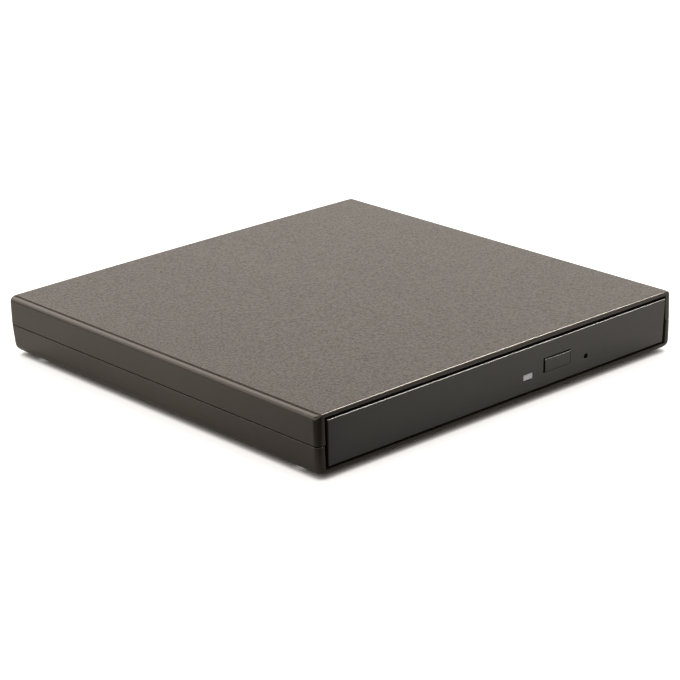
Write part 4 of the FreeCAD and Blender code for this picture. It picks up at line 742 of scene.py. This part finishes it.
def make_metals():
    worked_metal("screw_steel", (0.42, 0.42, 0.43), roughness=0.30, grain=0.08, stretch=even)
    worked_metal("sheet_steel", (0.60, 0.60, 0.58), roughness=0.34)
    worked_metal("frame_steel", (0.50, 0.50, 0.50), roughness=0.36, grain=0.15, stretch=(8.0, 1.0, 1.0))
    worked_metal("rail_steel", (0.55, 0.55, 0.55), roughness=0.26)
    worked_metal("rod_steel", (0.68, 0.68, 0.69), roughness=0.16, grain=0.06, stretch=even, depth=0.001)
    worked_metal("socket_metal", (0.62, 0.62, 0.60), roughness=0.24)
    worked_metal("bearing_brass", (0.72, 0.52, 0.24), roughness=0.28)
    worked_metal("hub_metal", (0.58, 0.58, 0.59), roughness=0.28, grain=0.10, stretch=(1.0, 1.0, 6.0))
    worked_metal("pickup_metal", (0.45, 0.45, 0.46), roughness=0.42, grain=0.3, stretch=even, depth=0.01)


def make_electric_parts():
    circuit_board("board_green", (0.015, 0.085, 0.035))
    wound_copper("coil_copper", (0.72, 0.33, 0.13))
    flat_cable("cable_film", (0.42, 0.22, 0.06), conductor=(0.62, 0.36, 0.16))


def usb_cutout():
    low, high = corners("usb_socket")
    return box_shape(low.x - socket_room, high.x + socket_room, back - socket_reach, back + overrun,
                     low.z - socket_room, high.z + socket_room)


def places_within(node, radius):
    """The four middles of round things of one radius that reach a node's corners."""
    low, high = corners(node)
    return [(x, y) for x in (low.x + radius, high.x - radius) for y in (low.y + radius, high.y - radius)]


def bridge_screw_places():
    low, high = corners("bridge_screws")
    y = (low.y + high.y) / 2
    return [(low.x + screw_head_radius, y), (high.x - screw_head_radius, y)]


def ribs(z0, z1):
    return [(join, box_shape(x - rib_half, x + rib_half, rib_front, rib_back, z0, z1))
            for x in (-rib_spread, 0.0, rib_spread)]


def roof_z(x, inner_half):
    return top - crown_rise * (x / inner_half) ** 2


def roof_columns_x(inner_half):
    return [inner_half * (2 * i / (roof_columns - 1) - 1) for i in range(roof_columns)]


def wall_outline(columns):
    """The upper walls' outline, anticlockwise from the front left, with a point at each roof column."""
    corner = corner_radius
    right = case_half - corner
    near = front + corner
    far = back - corner
    front_side = [(x, front) for x in columns]
    right_side = corner_arc(right, near, corner, 270) + corner_arc(right, far, corner, 0)
    back_side = [(x, back) for x in reversed(columns)]
    left_side = corner_arc(-right, far, corner, 90) + corner_arc(-right, near, corner, 180)
    return front_side + right_side + back_side + left_side


def make_roof(shape, edge_row):
    """Strips from front to back over the roof. The outer two take in a whole side of the edge row."""
    back_start = roof_columns + 2 * (corner_steps + 1)
    for i in range(roof_columns - 1):
        j = back_start + roof_columns - 1 - i
        right = edge_row[roof_columns:back_start] if i == roof_columns - 2 else []
        left = edge_row[back_start + roof_columns:] if i == 0 else []
        shape.faces.new([edge_row[i], edge_row[i + 1]] + right + [edge_row[j - 1], edge_row[j]] + left)


def upper_form():
    """The closed outer form above the seam: upright sides, a full round at the sides and back,
    a small one at the front, and a slightly crowned roof."""
    inner_half = case_half - roof_edge_radius
    inner_front = front + roof_front_radius
    inner_back = back - roof_edge_radius
    wall = wall_outline(roof_columns_x(inner_half))
    shape = bmesh.new()
    lowest = [shape.verts.new((x, y, seam_high)) for x, y in wall]
    rows = [lowest]
    for step in range(roof_steps + 1):
        turn = math.radians(90 * step / roof_steps)
        outwards = math.cos(turn)
        row = []
        for x, y in wall:
            inner_x = max(-inner_half, min(inner_half, x))
            inner_y = max(inner_front, min(inner_back, y))
            radius = math.hypot(x - inner_x, y - inner_y)
            z = roof_z(inner_x, inner_half) - radius * (1 - math.sin(turn))
            row.append(shape.verts.new((inner_x + (x - inner_x) * outwards,
                                        inner_y + (y - inner_y) * outwards, z)))
        rows.append(row)
    make_walls(shape, rows)
    shape.faces.new(list(reversed(lowest)))
    make_roof(shape, rows[-1])
    bmesh.ops.remove_doubles(shape, verts=shape.verts, dist=roof_merge_distance)
    bmesh.ops.dissolve_degenerate(shape, edges=shape.edges, dist=roof_merge_distance)
    bmesh.ops.recalc_face_normals(shape, faces=shape.faces)
    return shape


def make_top_cover():
    inner_front = front + case_wall
    inner_back = back - case_wall
    outer = cavity_half + rebate_depth
    places = places_within("case_screws", screw_head_radius)
    steps = [
        (cut, box_shape(-cavity_half, cavity_half, inner_front, inner_back, base, ceiling)),
        (cut, box_shape(-opening_half, opening_half, front - overrun, inner_front + overrun, base, ceiling)),
        (cut, box_shape(-outer, outer, inner_front, inner_back + rebate_depth, base,
                        tongue_high + tongue_clearance)),
    ]
    steps += [(join, post_shape(x, y, post_radius, seam, ceiling + sink)) for x, y in places]
    steps += ribs(plate_high.z, ceiling + sink)
    steps += [(cut, post_shape(x, y, screw_shank, seam - overrun, seam + case_screw_bite + overrun))
              for x, y in places]
    steps.append((cut, usb_cutout()))
    shape = combined(upper_form(), steps)
    round_edges(shape, sharp_edges(shape), seam_edge)
    finished(shape, "top_cover")


def drawn_in(z, rise, taper, radius):
    """How far a lower wall is drawn in at a height above the base, by its taper and its round foot."""
    below = max(radius - z, 0.0)
    return taper * (1 - z / rise) + radius - math.sqrt(radius ** 2 - below ** 2)


def lower_form():
    """The closed outer form below the seam, drawn in and rounded towards the base."""
    rise = seam_low - base
    levels = {radius * (1 - math.cos(math.radians(degrees)))
              for radius in (side_edge_radius, end_edge_radius) for degrees in foot_degrees}
    rings = []
    for z in sorted(levels) + [rise]:
        side = drawn_in(z, rise, side_taper, side_edge_radius)
        y_front = front + drawn_in(z, rise, front_taper, end_edge_radius)
        y_back = back - drawn_in(z, rise, back_taper, end_edge_radius)
        rings.append(rounded_outline(case_half - side, y_front, y_back, corner_radius - side * corner_shrink,
                                     base + z))
    return stacked(rings)


def tongue():
    """The raised edge inside the seam that the top cover's rebate fits over."""
    outer = cavity_half + tongue_thickness
    y0 = front + case_wall + tongue_front_gap
    y1 = back - case_wall
    low = seam_low - tongue_root
    ring = stacked([rounded_outline(outer, y0, y1 + tongue_thickness, cavity_corner, z)
                    for z in (low, tongue_high)])
    inside = stacked([rounded_outline(cavity_half, y0 - case_wall, y1, cavity_corner, z)
                      for z in (low - overrun, tongue_high + overrun)])
    return combined(ring, [(cut, inside)])


def gate():
    """The bezel's opening in the lower case, a little wider at the seam."""
    seam_half = opening_half + front_seam_step
    over = seam_high + overrun
    return stacked([[(-opening_half, y, sill), (opening_half, y, sill), (seam_half, y, over),
                     (-seam_half, y, over)]
                    for y in (front - overrun, front + case_wall + front_taper + overrun)])


def base_cavity():
    y0 = front + case_wall
    y1 = back - case_wall
    return stacked([
        rounded_outline(cavity_half - side_taper, y0 + front_taper, y1 - back_taper, cavity_corner,
                        floor_top),
        rounded_outline(cavity_half, y0, y1, cavity_corner, seam),
        rounded_outline(cavity_half, y0, y1, cavity_corner, seam + overrun),
    ])


def on_sill(edge):
    """Whether an edge lies in the sill's flat top, which keeps its sharp corner under the bezel."""
    inner_face = front + case_wall + front_taper
    return all(abs(vert.co.z - sill) < sill_tolerance and vert.co.y < inner_face for vert in edge.verts)


def make_bottom_cover():
    case_places = places_within("case_screws", screw_head_radius)
    ear_places = places_within("drive_mount_screws", screw_head_radius)
    bridge_places = bridge_screw_places()
    ear_screw_end = corners("drive_mount_screws")[0].z
    bridge_screw_end = corners("bridge_screws")[0].z
    ear_low = ear_screw_end + mount_screw_bite
    low = floor_top - sink
    steps = [(cut, base_cavity()), (join, tongue()), (cut, gate())]
    steps += ribs(low, chassis_low.z)
    steps += [(join, post_shape(x, y, post_radius, low, seam)) for x, y in case_places]
    steps += [(join, post_shape(x, y, ear_post_radius, low, ear_low)) for x, y in ear_places]
    steps += [(join, post_shape(x, y, bridge_post_radius, low, chassis_low.z)) for x, y in bridge_places]
    for x, y in case_places:
        steps.append((cut, post_shape(x, y, screw_head_radius + screw_clearance, base - overrun,
                                      base + screw_recess_depth)))
        steps.append((cut, post_shape(x, y, screw_shank + screw_clearance, base, seam + overrun)))
    for x, y in ear_places:
        steps.append((cut, post_shape(x, y, screw_shank, ear_screw_end - blind_room, ear_low + overrun)))
    for x, y in bridge_places:
        steps.append((cut, post_shape(x, y, screw_shank, bridge_screw_end, chassis_low.z + overrun)))
    for x, y in places_within("rubber_feet", foot_radius):
        steps.append((cut, post_shape(x, y, foot_radius, base - overrun, base + foot_recess)))
    steps.append((cut, usb_cutout()))
    shape = combined(lower_form(), steps)
    round_edges(shape, [edge for edge in sharp_edges(shape) if not on_sill(edge)], seam_edge)
    finished(shape, "bottom_cover")


def face_y(z):
    """The bezel's leaning face, further forward at its top."""
    foot = front + bezel_foot_setback
    share = (z - bezel_low.z) / (bezel_high.z - bezel_low.z)
    return foot + (bezel_low.y - foot) * share


def leaning_form(wide_top, wide_foot, z0, z1, setback, y_back, middle=0.0):
    """A block whose front is parallel to the bezel's face, set back from it by a given step."""
    rings = []
    for y_of in (lambda z: face_y(z) + setback, lambda z: y_back):
        rings.append([(middle - wide_foot, y_of(z0), z0), (middle + wide_foot, y_of(z0), z0),
                      (middle + wide_top, y_of(z1), z1), (middle - wide_top, y_of(z1), z1)])
    return stacked(rings)


def front_edges(shape, y_limit):
    return [edge for edge in sharp_edges(shape) if all(vert.co.y < y_limit for vert in edge.verts)]


def make_bezel():
    half = bezel_high.x
    y_back = bezel_high.y
    shape = leaning_form(half, half - bezel_draft, bezel_low.z, bezel_high.z, 0.0, y_back)
    round_edges(shape, front_edges(shape, y_back - overrun), bezel_edge, front_edge_steps)
    inside = leaning_form(half - bezel_flange, half - bezel_draft - bezel_flange,
                          bezel_low.z + bezel_flange, bezel_high.z - bezel_flange, bezel_wall,
                          y_back + overrun)
    low, high = corners("led_window")
    button_x0, button_x1, button_z0, button_z1 = button_box()
    y0 = front - bezel_cut_ahead
    y1 = front + bezel_wall + overrun
    pin_x, pin_z = pin_hole()
    steps = [
        (cut, inside),
        (cut, box_shape(button_x0 - button_left_gap, button_x1 + button_side_gap, y0, y1,
                        button_z0 - button_low_gap, button_z1 + button_top_gap)),
        (cut, box_shape(low.x - window_gap, high.x + window_gap, y0, y1, low.z - window_gap,
                        high.z + window_gap)),
        (cut, lying_shape(pin_x, pin_z, pin_hole_radius, y0, y1)),
    ]
    shape = combined(shape, steps)
    round_edges(shape, sharp_edges(shape), bezel_hole_edge)
    finished(shape, "bezel")


def button_box():
    low, high = corners("eject_button")
    middle = (low.x + high.x) / 2
    z0 = low.z + button_flange_side
    return middle - button_half, middle + button_half, z0, z0 + button_height


def pin_hole():
    low, high = corners("release_slider")
    return (low.x + high.x) / 2, low.z + pin_hole_over_slider


def make_eject_button():
    x0, x1, z0, z1 = button_box()
    low, high = corners("eject_button")
    middle = (x0 + x1) / 2
    flange_y = front + button_flange_back
    cap = leaning_form(button_half, button_half, z0, z1, -button_proud, flange_y + sink, middle)
    round_edges(cap, front_edges(cap, flange_y - overrun), button_edge, front_edge_steps)
    flange = box_shape(low.x, high.x, flange_y, flange_y + button_flange_sheet, low.z, high.z)
    tail_low = z0 + button_tail_rise
    tail = box_shape(middle - button_tail_half, middle + button_tail_half, flange_y + sink, high.y,
                     tail_low, tail_low + button_tail_height)
    finished(combined(cap, [(join, flange), (join, tail)]), "eject_button")


def cable_line(fold, radius, rear_low, rear_high):
    """The flat cable's middle line, each point with its direction out of the fold: the lower run
    from its rear end, the fold, and the upper run to its rear end."""
    line = []
    for step in range(cable_run_steps):
        line.append((rear_low + (fold.y - rear_low) * step / cable_run_steps, fold.z - radius, 0.0, -1.0))
    for step in range(cable_fold_steps + 1):
        angle = math.pi * step / cable_fold_steps
        line.append((fold.y - radius * math.sin(angle), fold.z - radius * math.cos(angle),
                     -math.sin(angle), -math.cos(angle)))
    for step in range(1, cable_run_steps + 1):
        line.append((fold.y + (rear_high - fold.y) * step / cable_run_steps, fold.z + radius, 0.0, 1.0))
    return line


def make_tray_cable():
    """A flat strip with a fold."""
    low, high = corners("tray_cable")
    half = cable_thickness / 2
    radius = (high.z - low.z - cable_thickness) / 2
    fold = Vector((0.0, low.y + radius + half, low.z + half + radius))
    rings = []
    for y, z, across_y, across_z in cable_line(fold, radius, high.y - cable_extra_run, high.y):
        outer = (y + half * across_y, z + half * across_z)
        inner = (y - half * across_y, z - half * across_z)
        rings.append([(low.x, *outer), (high.x, *outer), (high.x, *inner), (low.x, *inner)])
    piece = finished(stacked(rings), "tray_cable", smooth=False, rides=False)
    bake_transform(piece)


# The width of each dressed node's rounded edges
edge_widths = {
    "led_window": 0.12, "rubber_feet": 0.25, "case_screws": 0.1, "drive_chassis": 0.12,
    "drive_top_plate": 0.1, "top_plate_screws": 0.08, "drive_mount_screws": 0.1, "right_rail_guide": 0.12,
    "left_rail_guide": 0.12, "latch_post": 0.15, "rear_board": 0.06, "sata_plug": 0.12,
    "bridge_board": 0.06, "sata_socket": 0.12, "bridge_chips": 0.08, "bridge_screws": 0.08,
    "usb_socket": 0.08, "usb_tongue": 0.08, "tray": 0.18, "status_led": 0.12, "front_board": 0.06,
    "eject_switch": 0.1, "tray_board": 0.06, "tray_board_chips": 0.08, "tray_cable_plug": 0.1,
    "traverse_plate": 0.08, "traverse_dampers": 0.1, "traverse_screws": 0.07, "guide_rods": 0.15,
    "feed_motor": 0.12, "spindle_stator": 0.08, "spindle_bearing": 0.06, "mechanism_cover": 0.08,
    "cover_screws": 0.07, "latch_pivot_pin": 0.12, "latch_yoke": 0.06, "latch_coil": 0.1,
    "ejector_plunger": 0.15, "left_rail": 0.1, "right_rail": 0.1, "switch_plunger": 0.12,
    "turntable": 0.08, "turntable_ring": 0.1, "spindle_shaft": 0.1, "clamp_jaw_1": 0.08,
    "clamp_jaw_2": 0.08, "clamp_jaw_3": 0.08, "pickup": 0.15, "pickup_follower": 0.1,
    "lens_holder": 0.12, "latch_lever": 0.12, "release_slider": 0.15,
}
plain_nodes = ("ejector_spring", "lead_screw", "objective_lens")


def make_inside():
    """The pieces with the CAD's own form: most get rounded edges, the plain ones only a finish."""
    for node, width in edge_widths.items():
        make_dressed(node, width)
    for node in plain_nodes:
        cad = frame["nodes"][node]
        cad.data.materials.clear()
        cad.data.materials.append(finishes[slot_of[node]])


def main():
    bpy.context.scene.view_settings.view_transform = "Standard"
    make_plastics()
    make_metals()
    make_electric_parts()
    make_camera()
    make_light()
    make_floor()
    make_top_cover()
    make_bottom_cover()
    make_bezel()
    make_eject_button()
    make_tray_cable()
    make_inside()


main()
